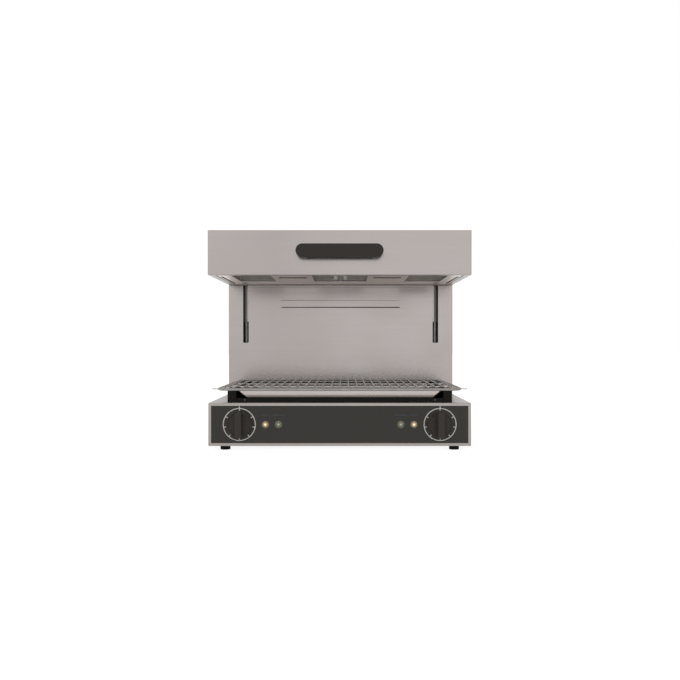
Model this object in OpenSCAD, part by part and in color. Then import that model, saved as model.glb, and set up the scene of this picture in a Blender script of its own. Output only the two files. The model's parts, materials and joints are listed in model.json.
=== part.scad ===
// Lift-top salamander grill (cheese melter): a base with two heat controls, a column with two
// guide slots, and a hood with the heating elements that slides up and down over a wire rack.
// +Z is up and the front faces -Y. Depths in the modules run from the hood's front plane
// towards the back, and placed() moves them so that the whole stands centred on the origin.

/* [Overall] */
// Width of the base, the column and the hood
body_w = 600; // [580:1:660]
// Depth of the grilling space, from the hood's front to the column's face
reach = 340; // [330:1:380]
// Depth of the column
column_d = 130; // [120:1:160]
// Thickness of the stainless sheet
sheet_t = 1.2; // [1:0.1:1.5]
// Thickness of the steel brackets
bracket_t = 3; // [2.5:0.5:4]
// Clearance at pieces that are set down, slid or fitted together
seat_gap = 0.3; // [0.2:0.1:0.5]
// Radial clearance of a rod or shaft in its bush
running_gap = 0.05; // [0.03:0.01:0.08]
// Width of the inward flanges of the sheet casings
flange_w = 14; // [12:1:16]

/* [Base] */
// Height of the base without its feet
base_h = 98.5; // [95:0.5:120]
// Distance of the base's front behind the hood's front
base_setback = 6; // [0:1:12]
// Width of the stainless border round the fascia
border_w = 6.5; // [5:0.5:8]
// Thickness of the fascia
fascia_t = 1; // [0.8:0.1:1.2]
// Height of the feet
foot_h = 9; // [8:1:15]
// Diameter of a foot
foot_dia = 23; // [20:1:30]
// Distance of a foot's centre from the side of the base
foot_inset_x = 37; // [28:1:60]
// Distance of a foot's centre from the front and the back of the base
foot_inset_y = 18; // [16:1:60]
// Diameter of the screw in a foot
foot_screw_dia = 6; // [5:1:8]
// Width of the floor's ventilation slots
floor_slot_w = 5; // [3:1:8]
// Length of the floor's ventilation slots
floor_slot_l = 120; // [80:5:160]
// Distance of the floor's ventilation slots from the middle
floor_slot_x = 150; // [120:5:170]
// Distance of the first ventilation slots behind the base's front
floor_slot_front = 113; // [100:1:130]

/* [Controls] */
// Distance of a knob's axis from the side of the base
knob_inset = 71; // [65:1:80]
// Diameter of a knob
knob_dia = 59; // [50:1:62]
// Depth of a knob from its skirt to the front of its grip
knob_depth = 27; // [20:1:32]
// Thickness of a knob's skirt
knob_skirt_t = 7; // [5:1:10]
// Width of a knob's grip bar
grip_w = 18; // [14:1:22]
// Turn of a knob from off to full heat, in degrees
knob_turn = 300; // [240:10:320]
// Radius of the middle of the dial's ring
dial_r = 36.5; // [35:0.5:39]
// Width of the dial's printed lines
dial_line = 2; // [1:0.5:3]
// Length of the marks inside the dial's ring
dial_tick = 5; // [3:0.5:5]
// Diameter of a spindle
spindle_dia = 6; // [5:0.5:7]
// Length of a spindle behind the fascia
spindle_in = 26; // [20:1:30]
// Width and height of a heat regulator's case
regulator_w = 48; // [40:1:52]
// Depth of a heat regulator's case
regulator_d = 38; // [32:1:45]
// Diameter of a regulator's threaded neck
neck_dia = 10; // [9:0.5:12]
// Distance of an amber lamp from its knob's axis
amber_gap = 59.5; // [56:0.5:64]
// Distance of a green lamp from the amber one
lamp_gap = 30; // [26:0.5:40]
// Diameter of a lamp's bezel
bezel_dia = 17.5; // [16:0.5:20]
// Thickness of a lamp's bezel
bezel_t = 2.2; // [1.5:0.1:3]
// Diameter of a lamp's lens
lens_dia = 12; // [10:0.5:13]
// Diameter of a lamp's barrel
barrel_dia = 14; // [13.5:0.5:15]
// Length of a lamp behind the fascia
lamp_in = 34; // [25:1:40]
// Height of the printed marks above the lamps' centre
mark_up = 20.6; // [16:0.2:24]
// Width of the printed mark over an amber lamp
mark_w = 16; // [6:1:18]
// Width of the printed mark over a green lamp
long_mark_w = 28; // [18:1:30]
// Height of the printed marks
mark_h = 2; // [1:0.5:3]
// Thickness of printed lines
print_t = 0.15; // [0.1:0.05:0.3]

/* [Tray and rack] */
// Distance of the black support frame from the sides of the base
support_inset = 40; // [30:1:50]
// Height of the black support frame
support_h = 30; // [28:0.5:36]
// Width of a side rail of the frame
rail_w = 20.5; // [16:0.5:24]
// Distance of the frame's front behind the hood's front
support_front = 34; // [28:1:50]
// Gap between the frame's back and the column
support_back_gap = 4; // [2:1:10]
// Wall of the frame's tubes
rail_t = 1.5; // [1.2:0.1:2]
// Height of the frame's cross bars
bar_h = 9; // [7:0.5:11]
// Depth of the frame's cross bars
bar_d = 20; // [14:1:26]
// Gap between the drip tray and each side rail
tray_side_gap = 2; // [1:0.5:4]
// Thickness of the drip tray's sheet
tray_t = 1; // [0.8:0.1:1.2]
// Corner radius of the drip tray
tray_r = 10; // [7:1:12]
// Height left free between the drip tray and the rack
tray_drop = 2.6; // [2:0.2:4]
// Distance of the wire rack's sides inside the sides of the base
rack_inset = 25; // [18:1:34]
// Distance of the rack's front ahead of the hood's front
rack_overhang = 42; // [40:1:60]
// Gap between the rack's back and the column
rack_back_gap = 9; // [6:1:14]
// Diameter of the rack's frame rod
rack_rod = 6.5; // [5:0.5:8]
// Corner radius of the rack's frame, at the rod's middle
rack_corner = 25; // [20:1:40]
// Diameter of the rack's wires
wire_dia = 3; // [2.5:0.1:3.4]
// Distance between the rack's wires
wire_pitch = 20; // [16:1:26]
// Diameter of the rack's cross rods
cross_rod = 4; // [3.4:0.1:4.4]
// Length of the two stop pins beyond the rack's sides
pin_out = 13; // [8:1:16]

/* [Hood] */
// Height of the open space between the rack and the raised hood
hood_clear = 254.5; // [240:0.5:270]
// Height of the hood
hood_h = 102; // [96:1:120]
// Distance that the hood slides down
travel = 155; // [130:5:165]
// Gap between the hood's back and the column
hood_gap = 5; // [4.5:0.5:8]
// Width of the plate between two heat windows
window_plate_w = 96; // [85:1:100]
// Width of an outer heat window
outer_window_w = 91; // [70:1:94]
// Distance of the outer heat windows from the sides of the hood
window_inset = 48; // [46:1:52]
// Distance of the heat windows behind the hood's front
window_front = 40; // [35:1:55]
// Length of the heat windows from front to back
window_l = 195; // [180:1:205]
// Width of the small slots in the plates between the windows
plate_slot_w = 66; // [40:1:70]
// Length of the small slots from front to back
plate_slot_l = 20; // [12:1:28]
// Distance of the small slots behind the windows' front edge
plate_slot_in = 15; // [8:1:20]
// Width of the side air slots
air_slot_w = 5; // [3:0.5:7]
// Length of the side air slots
air_slot_l = 250; // [220:1:260]
// Distance of the side air slots' middle behind the hood's middle
air_slot_back = 20; // [10:1:24]
// Distance of the side air slots from the hood's side
air_slot_inset = 22; // [20:0.5:25]
// Distance of the reflectors' sides from the windows, and between the reflectors
reflector_gap = 8; // [6:0.5:10]
// Distance of the reflectors' back behind the windows
reflector_rear = 14; // [10:1:16]
// Height of a reflector
reflector_h = 30; // [26:1:36]
// Thickness of the insulation over the reflectors
insulation_t = 38; // [25:1:45]
// Diameter of a heating element's tube
element_dia = 8; // [6.5:0.5:8.5]
// Distance of a heating element's outer legs from the sides of its reflector
element_inset = 28; // [24:1:34]
// Length of a heating element's ends behind the reflector
element_out = 14; // [10:1:20]
// Height of a heating element's middle above the bottom plate
element_up = 12; // [10:0.5:14]
// Thickness of the bars that carry the heating elements
element_bar_t = 2; // [1.5:0.5:3]

/* [Handle] */
// Width of the handle
handle_w = 196.5; // [170:0.5:220]
// Height of the handle
handle_h = 30; // [26:1:36]
// Distance of the handle's front ahead of the hood
handle_out = 38; // [34:1:40]
// Thickness of the handle's grip
handle_grip = 14; // [11:1:16]
// Width of the handle's feet
handle_foot = 24; // [20:1:30]
// Height of the handle's middle above the hood's lower edge
handle_up = 52.5; // [45:0.5:60]
// Diameter of the handle's screws
handle_screw_dia = 5; // [4:0.5:6]

/* [Column and lift] */
// Distance of the column's top plate below the hood's top
column_drop = 1.8; // [1:0.2:6]
// Distance of the guide slots' middle from the sides of the column
slot_inset = 46; // [42:1:50]
// Width of the guide slots
slot_w = 14.5; // [12:0.5:16]
// Height of the pressed bead's middle above the base
bead_up = 240.5; // [200:0.5:260]
// Length of the pressed bead
bead_w = 322; // [250:1:360]
// Height of the pressed bead at its foot
bead_h = 20; // [14:1:24]
// Depth of the pressed bead
bead_depth = 3; // [2:0.5:3.5]
// Diameter of the guide rods
guide_dia = 10; // [8:0.5:11]
// Distance of the guide rods behind the column's face
guide_in = 18; // [16:1:22]
// Outer diameter of the guide sleeves
sleeve_dia = 15; // [14.5:0.5:16]
// Wall of the guide sleeves
sleeve_t = 1; // [0.8:0.1:1.2]
// Length of the guide sleeves
sleeve_l = 184; // [160:1:190]
// Length of a bush in a guide sleeve
bush_l = 20; // [12:1:30]
// Thickness of the hood's arms
arm_t = 6; // [5:0.5:8]
// Height of the arms' lower edge above the hood's lower edge
arm_low = 9; // [8:0.5:14]
// Distance of the arms' upper edge below the hood's top
arm_high = 25; // [22:0.5:30]
// Width of an arm's bolted foot
arm_foot = 24; // [20:1:28]
// Distance of an arm's bolts above and below its middle
bolt_rise = 20; // [14:1:24]
// Thickness of the carriage's cross plate
carriage_t = 4; // [3:0.5:5]
// Height of the carriage's rails above and below its window
carriage_rim = 16; // [12:1:20]
// Distance of the gas springs from the middle
strut_x = 120; // [90:1:140]
// Diameter of a gas spring's tube
strut_dia = 18; // [16:1:20]
// Diameter of a gas spring's rod
strut_rod_dia = 8; // [6:0.5:9]
// Length of a gas spring's tube beyond its stroke
strut_extra = 75; // [60:1:80]

/* [Back] */
// Height of the cable gland above the floor
gland_up = 48; // [40:1:60]
// Distance of the cable gland from the side of the base
gland_inset = 100; // [70:1:130]
// Diameter of the hole for the mains cable in the gland
cable_dia = 10; // [8:0.5:11]
// Diameter of the gland's thread
gland_dia = 16; // [15:0.5:18]
// Distance that the gland stands out
gland_out = 24; // [20:1:30]
// Width of the terminal block
terminal_w = 70; // [50:1:80]
// Depth of the terminal block
terminal_d = 24; // [18:1:30]
// Height of the terminal block
terminal_h = 28; // [20:1:34]
// Distance of the terminal block from the gland, across
terminal_gap = 30; // [25:1:40]
// Distance of the terminal block from the rear cover
terminal_in = 36; // [30:1:50]
// Distance between the terminals
terminal_pitch = 13; // [10:0.5:14]
// Diameter of the cover's screws
cover_screw_dia = 4; // [3:0.5:4.5]
// Width of the cover's ventilation slots
vent_w = 70; // [40:1:90]
// Height of the cover's ventilation slots
vent_h = 4; // [3:0.5:5]
// Distance of the cover's ventilation slots from the middle
vent_x = 100; // [80:1:130]
// Height of the lower ventilation slots above the base
vent_low = 40; // [30:1:50]
// Distance of the upper ventilation slots below the column's top
vent_high = 110; // [100:1:130]
// Number of ventilation slots in each group
vent_count = 8; // [4:1:9]

/* [Hidden] */
$fn = 64;
LEFT = -1;
RIGHT = 1;
SIDES = [LEFT, RIGHT];
// Overlap of one cut or joined solid with the next
bite = 1;
// Thickness of the thin layers between which a sloping form is drawn
layer_t = 0.01;

steel = [0.68, 0.66, 0.65];
dark_steel = [0.35, 0.34, 0.33];
zinc = [0.72, 0.73, 0.75];
black = [0.12, 0.11, 0.1];
fascia_black = [0.24, 0.23, 0.21];
cream = [0.85, 0.84, 0.8];
wool = [0.85, 0.8, 0.62];

// Heights
half_w = body_w / 2;
inner_half = half_w - sheet_t;
base_z0 = foot_h;
base_z1 = base_z0 + base_h;
support_z1 = base_z1 + support_h;
rack_z = support_z1 + seat_gap + rack_rod / 2;
rack_top = rack_z + rack_rod / 2;
hood_z0 = rack_top + hood_clear;
hood_z1 = hood_z0 + hood_h;
column_z1 = hood_z1 - column_drop;
wall_z1 = column_z1 - sheet_t;

// Depths
base_face = base_setback;
column_face = reach;
column_back = column_face + column_d;
cover_back = column_back + sheet_t;
rear_end = cover_back + gland_out;
gland_x = half_w - gland_inset;
hood_d = reach - hood_gap;
front_y = (rack_overhang - rear_end) / 2;

// Fascia and controls
fascia_w = body_w - 2 * border_w;
fascia_h = base_h - 2 * border_w;
fascia_face = base_face + sheet_t - fascia_t;
panel_face = base_face + sheet_t;
panel_back = panel_face + sheet_t;
panel_lap = 3;
control_z = base_z0 + base_h / 2;
knob_gap = 1;
knob_back = fascia_face - knob_gap;
knob_front = knob_back - knob_depth;
grip_wall = 6;
spindle_front = knob_front + grip_wall;
spindle_end = fascia_face + spindle_in;
neck_proud = 0.5;
neck_front = fascia_face - neck_proud;
tick_first = 60;
tick_step = 40;
tick_last = knob_turn;
knob_x = half_w - knob_inset;
amber_x = knob_x - amber_gap;
green_x = amber_x - lamp_gap;
lamp_xs = [amber_x, green_x];

// Tray and rack
support_w = body_w - 2 * support_inset;
rack_w = body_w - 2 * rack_inset;
rail_inner = support_w / 2 - rail_w;
support_back = column_face - support_back_gap;
bar_z1 = base_z1 + bar_h;
tray_half = rail_inner - tray_side_gap;
tray_z0 = bar_z1 + seat_gap;
tray_z1 = support_z1 - tray_drop;
tray_front = support_front;
tray_back = support_back - bar_d / 2;
rack_front = -rack_overhang;
rack_back = column_face - rack_back_gap;
rack_half = rack_w / 2 - rack_rod / 2;
rod_front = rack_front + rack_rod / 2;
rod_back = rack_back - rack_rod / 2;
wire_proud = 0.4;
wire_z = rack_top + wire_proud - wire_dia / 2;
wires_each_side = floor((rack_half - rack_rod / 2 - wire_dia) / wire_pitch);
weld_bite = 0.5;
cross_z = wire_z - wire_dia / 2 - cross_rod / 2 + weld_bite;
pin_z = wire_z - wire_dia + weld_bite;
rod_span = rod_back - rod_front;

// Hood
lip_top = hood_z0 + sheet_t;
plate_top = lip_top + sheet_t;
window_back = window_front + window_l;
window_edge = half_w - window_inset - outer_window_w;
middle_window_w = 2 * (window_edge - window_plate_w);
plate_slot_front = window_front + plate_slot_in;
air_slot_front = (hood_d - air_slot_l) / 2 + air_slot_back;
reflector_in = reflector_gap / 2;
reflector_out = window_edge + outer_window_w + reflector_gap;
reflector_front = window_front - reflector_gap;
reflector_back = window_back + reflector_rear;
reflector_z1 = plate_top + reflector_h;
element_z = plate_top + element_up;
element_legs = 6;
element_pitch = (reflector_out - reflector_in - 2 * element_inset) / (element_legs - 1);
element_mid = (reflector_in + reflector_out) / 2;
element_bend = element_pitch / 2;
element_rim = 6;
element_front = reflector_front + element_rim + element_dia / 2 + element_bend;
element_turn = reflector_back - element_rim - element_dia / 2 - element_bend;
element_end = reflector_back + element_out;
element_hole = element_dia / 2 + seat_gap;
bar_places = [0.28, 0.75];
handle_z = hood_z0 + handle_up;
handle_half = handle_w / 2;
handle_screw_x = handle_half - handle_foot / 2;
handle_screw_l = 16;
handle_head_dia = 2 * handle_screw_dia;
handle_head_t = 0.6 * handle_screw_dia;

// Lift
slot_x = half_w - slot_inset;
guide_d = column_face + guide_in;
arm_z0 = hood_z0 + arm_low;
arm_z1 = hood_z1 - arm_high;
slot_over = 12;
sleeve_over = 8;
slot_z0 = arm_z0 - travel - slot_over;
slot_z1 = arm_z1 + sleeve_over;
sleeve_z1 = arm_z1 + sleeve_over;
sleeve_z0 = sleeve_z1 - sleeve_l;
sleeve_stop = 3;
guide_top_z = sleeve_z1 + sleeve_stop;
guide_base_z = base_z1 + sheet_t;
rod_clear = 2;
column_flange = guide_in - guide_dia / 2 - sheet_t - rod_clear;
opening_front = column_face + sheet_t + column_flange + seat_gap;
boss_dia = guide_dia + 10;
boss_h = 12;
bracket_back = guide_d + boss_dia / 2 + rod_clear;
guide_over = 2;
sleeve_lap = 0.1 * sleeve_dia;
carriage_front = guide_d + sleeve_dia / 2 - sleeve_lap;
carriage_back = carriage_front + carriage_t;
strut_gap = 4;
carriage_half = slot_x + sleeve_dia / 2 + strut_gap;
strut_d = carriage_back + strut_gap + strut_dia / 2;
strut_l = travel + strut_extra;
strut_z1 = arm_z1 - bracket_t;
strut_z0 = strut_z1 - strut_l;
strut_over = 5;
strut_foot = strut_z0 - travel - strut_over;
piston_h = 10;
strut_wall = 1.5;
strut_plug = 12;
stud_dia = 8;
stud_out = 9;
stud_l = bracket_t + stud_out;
nut_h = 5;
mount_side = 30;
mount_half = strut_x + mount_side;
mount_front = bracket_back + rod_clear;
mount_back = strut_d + strut_dia;
floor_top = base_z0 + sheet_t;
bolt_dia = 6;
bolt_head_t = hood_gap / 2;

// Moves what is measured from the hood's front plane to its place round the origin.
module placed() {
    translate([0, front_y, 0]) children();
}

// A block between two widths, two depths and two heights.
module block(x0, x1, d0, d1, z0, z1) {
    translate([x0, d0, z0]) cube([x1 - x0, d1 - d0, z1 - z0]);
}

// A block of a half width on both sides of the middle.
module wide(half, d0, d1, z0, z1) {
    block(-half, half, d0, d1, z0, z1);
}

// A round bar from front to back at a place across and up.
module bar_y(dia, x, z, d0, d1) {
    translate([x, d0, z]) rotate([-90, 0, 0]) cylinder(d = dia, h = d1 - d0);
}

// An upright round bar.
module bar_z(dia, x, d, z0, z1) {
    translate([x, d, z0]) cylinder(d = dia, h = z1 - z0);
}

// A round bar across.
module bar_x(dia, d, z, x0, x1) {
    translate([x0, d, z]) rotate([0, 90, 0]) cylinder(d = dia, h = x1 - x0);
}

// What lies at both sides alike.
module both() {
    for (side = SIDES) on_side(side) children();
}

// Mirrors to the left where the side is LEFT.
module on_side(side) {
    if (side == LEFT) mirror([1, 0, 0]) children();
    else children();
}

// ---------- base ----------

module base_casing() color(steel) placed() {
    difference() {
        wide(half_w, base_face, column_back, base_z0, base_z1);
        wide(inner_half, base_face + sheet_t, column_back + bite, base_z0 - bite,
            base_z1 - sheet_t);
        wide(fascia_w / 2, base_face - bite, panel_face + bite, base_z0 + border_w,
            base_z1 - border_w);
        column_hole();
        rail_screw_holes();
    }
    both() block(inner_half - flange_w, inner_half, column_back - sheet_t, column_back,
        floor_top + flange_w + seat_gap, base_z1 - sheet_t);
}

// Opening in the base's top under the column, for the springs and the wiring.
module column_hole() {
    wide(inner_half - flange_w - rod_clear, opening_front, column_back - flange_w, base_z1 - 2 * sheet_t,
        base_z1 + bite);
}

module base_floor() color(zinc) placed() difference() {
    union() {
        wide(inner_half - seat_gap, panel_back + seat_gap, column_back, base_z0, floor_top);
        wide(inner_half - seat_gap, panel_back + seat_gap, panel_back + seat_gap + sheet_t,
            base_z0, floor_top + flange_w);
        wide(inner_half - seat_gap, column_back - sheet_t, column_back, base_z0,
            floor_top + flange_w);
        both() block(inner_half - seat_gap - sheet_t, inner_half - seat_gap,
            panel_back + seat_gap, column_back, base_z0, floor_top + flange_w);
    }
    foot_places() bar_z(foot_screw_dia + 2 * seat_gap, 0, 0, base_z0 - bite, floor_top + bite);
    for (side = SIDES, row = [0 : 5])
        translate([side * floor_slot_x, base_face + floor_slot_front + row * 4 * floor_slot_w, 0])
            wide(floor_slot_l / 2, 0, floor_slot_w, base_z0 - bite, floor_top + bite);
}

// Puts its child at each foot.
module foot_places() {
    for (side = SIDES, d = [base_face + foot_inset_y, column_back - foot_inset_y])
        translate([side * (half_w - foot_inset_x), d, 0]) children();
}

foot_head_dia = foot_screw_dia + 5;
foot_recess = foot_h / 2;
foot_head_t = foot_screw_dia / 2;

module feet() color(black) placed() foot_places() difference() {
    bar_z(foot_dia, 0, 0, 0, foot_h);
    bar_z(foot_head_dia + 1, 0, 0, -bite, foot_recess);
    bar_z(foot_screw_dia + 2 * seat_gap, 0, 0, -bite, foot_h + bite);
}

module foot_screws() color(zinc) placed() foot_places() {
    bar_z(foot_head_dia, 0, 0, foot_recess - foot_head_t, foot_recess);
    bar_z(foot_screw_dia, 0, 0, foot_recess - bite, floor_top + nut_h + 2);
    bar_z(foot_head_dia - 1, 0, 0, floor_top, floor_top + nut_h, $fn = 6);
}

// ---------- fascia and controls ----------

// Openings for the regulators' necks and the lamps through a panel of the given depth.
module control_holes(d0, d1) {
    both() bar_y(neck_dia + 2 * seat_gap, knob_x, control_z, d0 - bite, d1 + bite);
    both() for (x = lamp_xs)
        bar_y(barrel_dia + 2 * seat_gap, x, control_z, d0 - bite, d1 + bite);
}

module fascia_panel() color(fascia_black) placed() difference() {
    wide(fascia_w / 2 - seat_gap, fascia_face, panel_face, base_z0 + border_w + seat_gap,
        base_z1 - border_w - seat_gap);
    control_holes(fascia_face, panel_face);
}

module control_panel() color(zinc) placed() difference() {
    wide(fascia_w / 2 + panel_lap, panel_face, panel_back, base_z0 + border_w - panel_lap,
        base_z1 - border_w + panel_lap);
    control_holes(panel_face, panel_back);
}

module regulator(side) color(cream) placed() translate([side * knob_x, 0, 0]) difference() {
    union() {
        block(-regulator_w / 2, regulator_w / 2, panel_back, panel_back + regulator_d,
            control_z - regulator_w / 2, control_z + regulator_w / 2);
        bar_y(neck_dia, 0, control_z, neck_front, panel_back + bite);
    }
    bar_y(spindle_dia + 2 * running_gap, 0, control_z, neck_front - bite, spindle_end + seat_gap);
}

module left_regulator() regulator(LEFT);
module right_regulator() regulator(RIGHT);

module spindle(side) color(zinc) placed()
    bar_y(spindle_dia, side * knob_x, control_z, spindle_front, spindle_end);

module left_spindle() spindle(LEFT);
module right_spindle() spindle(RIGHT);

// A round skirt with a full-width grip bar, bored for the spindle.
module knob(side) color(black) placed() translate([side * knob_x, 0, 0]) difference() {
    union() {
        bar_y(knob_dia, 0, control_z, knob_back - knob_skirt_t, knob_back);
        intersection() {
            bar_y(knob_dia - 2, 0, control_z, knob_front, knob_back);
            wide(grip_w / 2, knob_front, knob_back, control_z - knob_dia / 2,
                control_z + knob_dia / 2);
        }
    }
    bar_y(spindle_dia + 2 * running_gap, 0, control_z, spindle_front - seat_gap,
        knob_back + bite);
}

module left_knob() knob(LEFT);
module right_knob() knob(RIGHT);

// A printed ring with marks every 40 degrees and a long zero mark at the top.
module dial_scale(side) color(cream) placed()
    translate([side * knob_x, fascia_face, control_z]) rotate([90, 0, 0])
        linear_extrude(print_t) {
            difference() {
                circle(r = dial_r + dial_line / 2);
                circle(r = dial_r - dial_line / 2);
            }
            for (turn = [tick_first : tick_step : tick_last])
                rotate(-turn) translate([-dial_line / 2, dial_r - dial_line / 2 - dial_tick])
                    square([dial_line, dial_tick + dial_line / 2]);
            translate([-dial_line / 2, dial_r - dial_tick])
                square([dial_line, fascia_h / 2 - seat_gap - dial_r + dial_tick]);
        }

module left_dial_scale() dial_scale(LEFT);
module right_dial_scale() dial_scale(RIGHT);

module lamp_marks() color(cream) placed() both() {
    lamp_mark(amber_x, mark_w);
    lamp_mark(green_x, long_mark_w);
}

// A printed mark over the lamp at x.
module lamp_mark(x, width) translate([x, 0, control_z + mark_up])
    wide(width / 2, fascia_face - print_t, fascia_face, 0, mark_h);

lens_front = fascia_face - bezel_t;
lens_l = 8;
lens_seat = lens_front + lens_l;
lens_dome = 1.6;
lens_sphere = (pow(lens_dia / 2, 2) + pow(lens_dome, 2)) / (2 * lens_dome);

module lamp_body(x) difference() {
    union() {
        bar_y(bezel_dia, x, control_z, lens_front, fascia_face);
        bar_y(barrel_dia, x, control_z, lens_front + bezel_t / 2, fascia_face + lamp_in);
        bar_y(bezel_dia, x, control_z, panel_back, panel_back + nut_h, $fn = 6);
    }
    bar_y(lens_dia, x, control_z, lens_front - bite, lens_seat);
    bar_y(lens_dia - 2, x, control_z, lens_seat - bite, fascia_face + lamp_in - 2);
}

module lamp_bodies(side) color(dark_steel) placed() on_side(side)
    for (x = lamp_xs) lamp_body(x);

module left_lamp_bodies() lamp_bodies(LEFT);
module right_lamp_bodies() lamp_bodies(RIGHT);

// A round lens with a domed front that ends in its bezel's seat.
module lens(x) translate([x, lens_front, control_z]) rotate([90, 0, 0]) rotate_extrude() {
    translate([0, lens_front - lens_seat]) square([lens_dia / 2, lens_seat - lens_front]);
    intersection() {
        square([lens_dia / 2, lens_dome]);
        translate([0, lens_dome - lens_sphere]) circle(r = lens_sphere);
    }
}

module amber_lenses() color([0.95, 0.75, 0.35]) placed() both() lens(amber_x);
module green_lenses() color([0.45, 0.6, 0.4]) placed() both() lens(green_x);

// ---------- tray and rack ----------

rail_screw_x = rail_inner - rail_w / 2;

// Closed tube of a side rail, which carries the rack on its top.
module tray_rail(side) color(black) placed() on_side(side) difference() {
    block(rail_inner, support_w / 2, support_front, support_back, base_z1, support_z1);
    block(rail_inner + rail_t, support_w / 2 - rail_t, support_front + rail_t,
        support_back - rail_t, base_z1 - bite, support_z1 - rail_t);
}

module left_tray_rail() tray_rail(LEFT);
module right_tray_rail() tray_rail(RIGHT);

module tray_bar(d0, d1) color(black) difference() {
    wide(rail_inner, d0, d1, base_z1, bar_z1);
    wide(rail_inner - rail_t, d0 + rail_t, d1 - rail_t, base_z1 - bite, bar_z1 - rail_t);
    rail_screw_holes();
}

module front_tray_bar() placed() tray_bar(support_front, support_front + bar_d);
module rear_tray_bar() placed() tray_bar(support_back - bar_d, support_back);

rail_screw_dia = 4;
rail_screw_ds = [support_front + bar_d / 2, support_back - bar_d / 2];

module rail_screw_holes() {
    both() for (d = rail_screw_ds)
        bar_z(rail_screw_dia + 2 * seat_gap, rail_screw_x, d, base_z1 - 2 * sheet_t,
            bar_z1 + bite);
}

// Screws up through the base's top into the underside of the cross bars.
module rail_screws() color(zinc) placed() both() for (d = rail_screw_ds) {
    bar_z(rail_screw_dia, rail_screw_x, d, base_z1 - sheet_t - 2, bar_z1 - seat_gap);
    bar_z(2 * rail_screw_dia, rail_screw_x, d, base_z1 - sheet_t - 3, base_z1 - sheet_t);
    bar_z(2 * rail_screw_dia - 1, rail_screw_x, d, base_z1 + seat_gap,
        bar_z1 - rail_t, $fn = 6);
}

// The tray's rounded outer form, drawn in by the given wall.
module tray_form(wall, z1) {
    r = tray_r - wall;
    hull() for (side = SIDES, d = [tray_front + tray_r, tray_back - tray_r])
        translate([side * (tray_half - tray_r), d, tray_z0 + tray_r]) {
            sphere(r = r, $fn = 32);
            cylinder(r = r, h = z1 - tray_z0 - tray_r, $fn = 32);
        }
}

module drip_tray() color(steel) placed() difference() {
    tray_form(0, tray_z1);
    tray_form(tray_t, tray_z1 + bite);
    wide(tray_half + bite, tray_front - bite, tray_back + bite, tray_z1, tray_z1 + tray_r);
}

// A quarter of the rack's frame rod round a corner, turned to its place.
module rack_bend(x, d, turn) {
    translate([x, d, rack_z]) rotate(turn) rotate_extrude(angle = 90)
        translate([rack_corner, 0]) circle(d = rack_rod);
}

module wire_rack() color(zinc) placed() {
    bend_x = rack_half - rack_corner;
    bend_d0 = rod_front + rack_corner;
    bend_d1 = rod_back - rack_corner;
    for (d = [rod_front, rod_back]) bar_x(rack_rod, d, rack_z, -bend_x, bend_x);
    for (side = SIDES) bar_y(rack_rod, side * rack_half, rack_z, bend_d0, bend_d1);
    rack_bend(bend_x, bend_d1, 0);
    rack_bend(-bend_x, bend_d1, 90);
    rack_bend(-bend_x, bend_d0, 180);
    rack_bend(bend_x, bend_d0, 270);
    for (i = [-wires_each_side : wires_each_side])
        bar_y(wire_dia, i * wire_pitch, wire_z, wire_front(i), wire_back(i));
    for (share = [1 / 3, 2 / 3])
        bar_x(cross_rod, rod_front + share * rod_span, cross_z, -rack_half, rack_half);
    bar_x(wire_dia - 0.4, bend_d0, pin_z, -rack_half - rack_rod / 2 - pin_out,
        rack_half + rack_rod / 2 + pin_out);
}

// How far a wire falls short of the straight frame rods where it meets a rounded corner.
function corner_drop(i) =
    let (into = abs(i) * wire_pitch - (rack_half - rack_corner))
    into <= 0 ? 0 : rack_corner - sqrt(pow(rack_corner, 2) - pow(into, 2));
function wire_front(i) = rod_front + corner_drop(i);
function wire_back(i) = rod_back - corner_drop(i);

// ---------- column ----------

// The pressed bead's hollow or, with the sheet's wall round it, its outer form.
module bead_form(wall) {
    front = wall > 0 ? sheet_t / 2 : -bite;
    hull() {
        bead_layer(front, wall - front);
        bead_layer(bead_depth + wall, wall - bead_depth);
    }
}

// A thin layer of the bead at a depth behind the column's face. The bead's ends slope less.
module bead_layer(depth, grow) {
    z = base_z1 + bead_up;
    rise = bead_h / 2 + grow;
    wide(bead_w / 2 + 2 * grow, column_face + depth - layer_t, column_face + depth, z - rise,
        z + rise);
}

module column_front() color(steel) placed() {
    difference() {
        union() {
            difference() {
                wide(half_w, column_face, column_back, base_z1, wall_z1);
                wide(inner_half, column_face + sheet_t, column_back + bite, base_z1 - bite,
                    wall_z1 + bite);
            }
            bead_form(sheet_t);
        }
        both() guide_slot();
        bead_form(0);
    }
    wide(inner_half, column_face + sheet_t, column_face + sheet_t + column_flange, base_z1,
        base_z1 + sheet_t);
    both() block(inner_half - flange_w, inner_half, column_back - sheet_t, column_back,
        base_z1, wall_z1 - flange_w);
}

// A guide slot with round ends through the column's face.
module guide_slot() {
    r = slot_w / 2;
    for (z = [slot_z0 + r, slot_z1 - r])
        bar_y(slot_w, slot_x, z, column_face - bite, column_face + sheet_t + bite);
    block(slot_x - r, slot_x + r, column_face - bite, column_face + sheet_t + bite,
        slot_z0 + r, slot_z1 - r);
}

module column_top() color(steel) placed() {
    lip = inner_half - seat_gap;
    d0 = column_face + sheet_t + seat_gap;
    wide(half_w, column_face, column_back, wall_z1, column_z1);
    difference() {
        wide(lip, d0, column_back, wall_z1 - flange_w / 2, wall_z1);
        wide(lip - sheet_t, d0 + sheet_t, column_back - sheet_t, wall_z1 - flange_w,
            wall_z1 + bite);
    }
}

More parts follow.
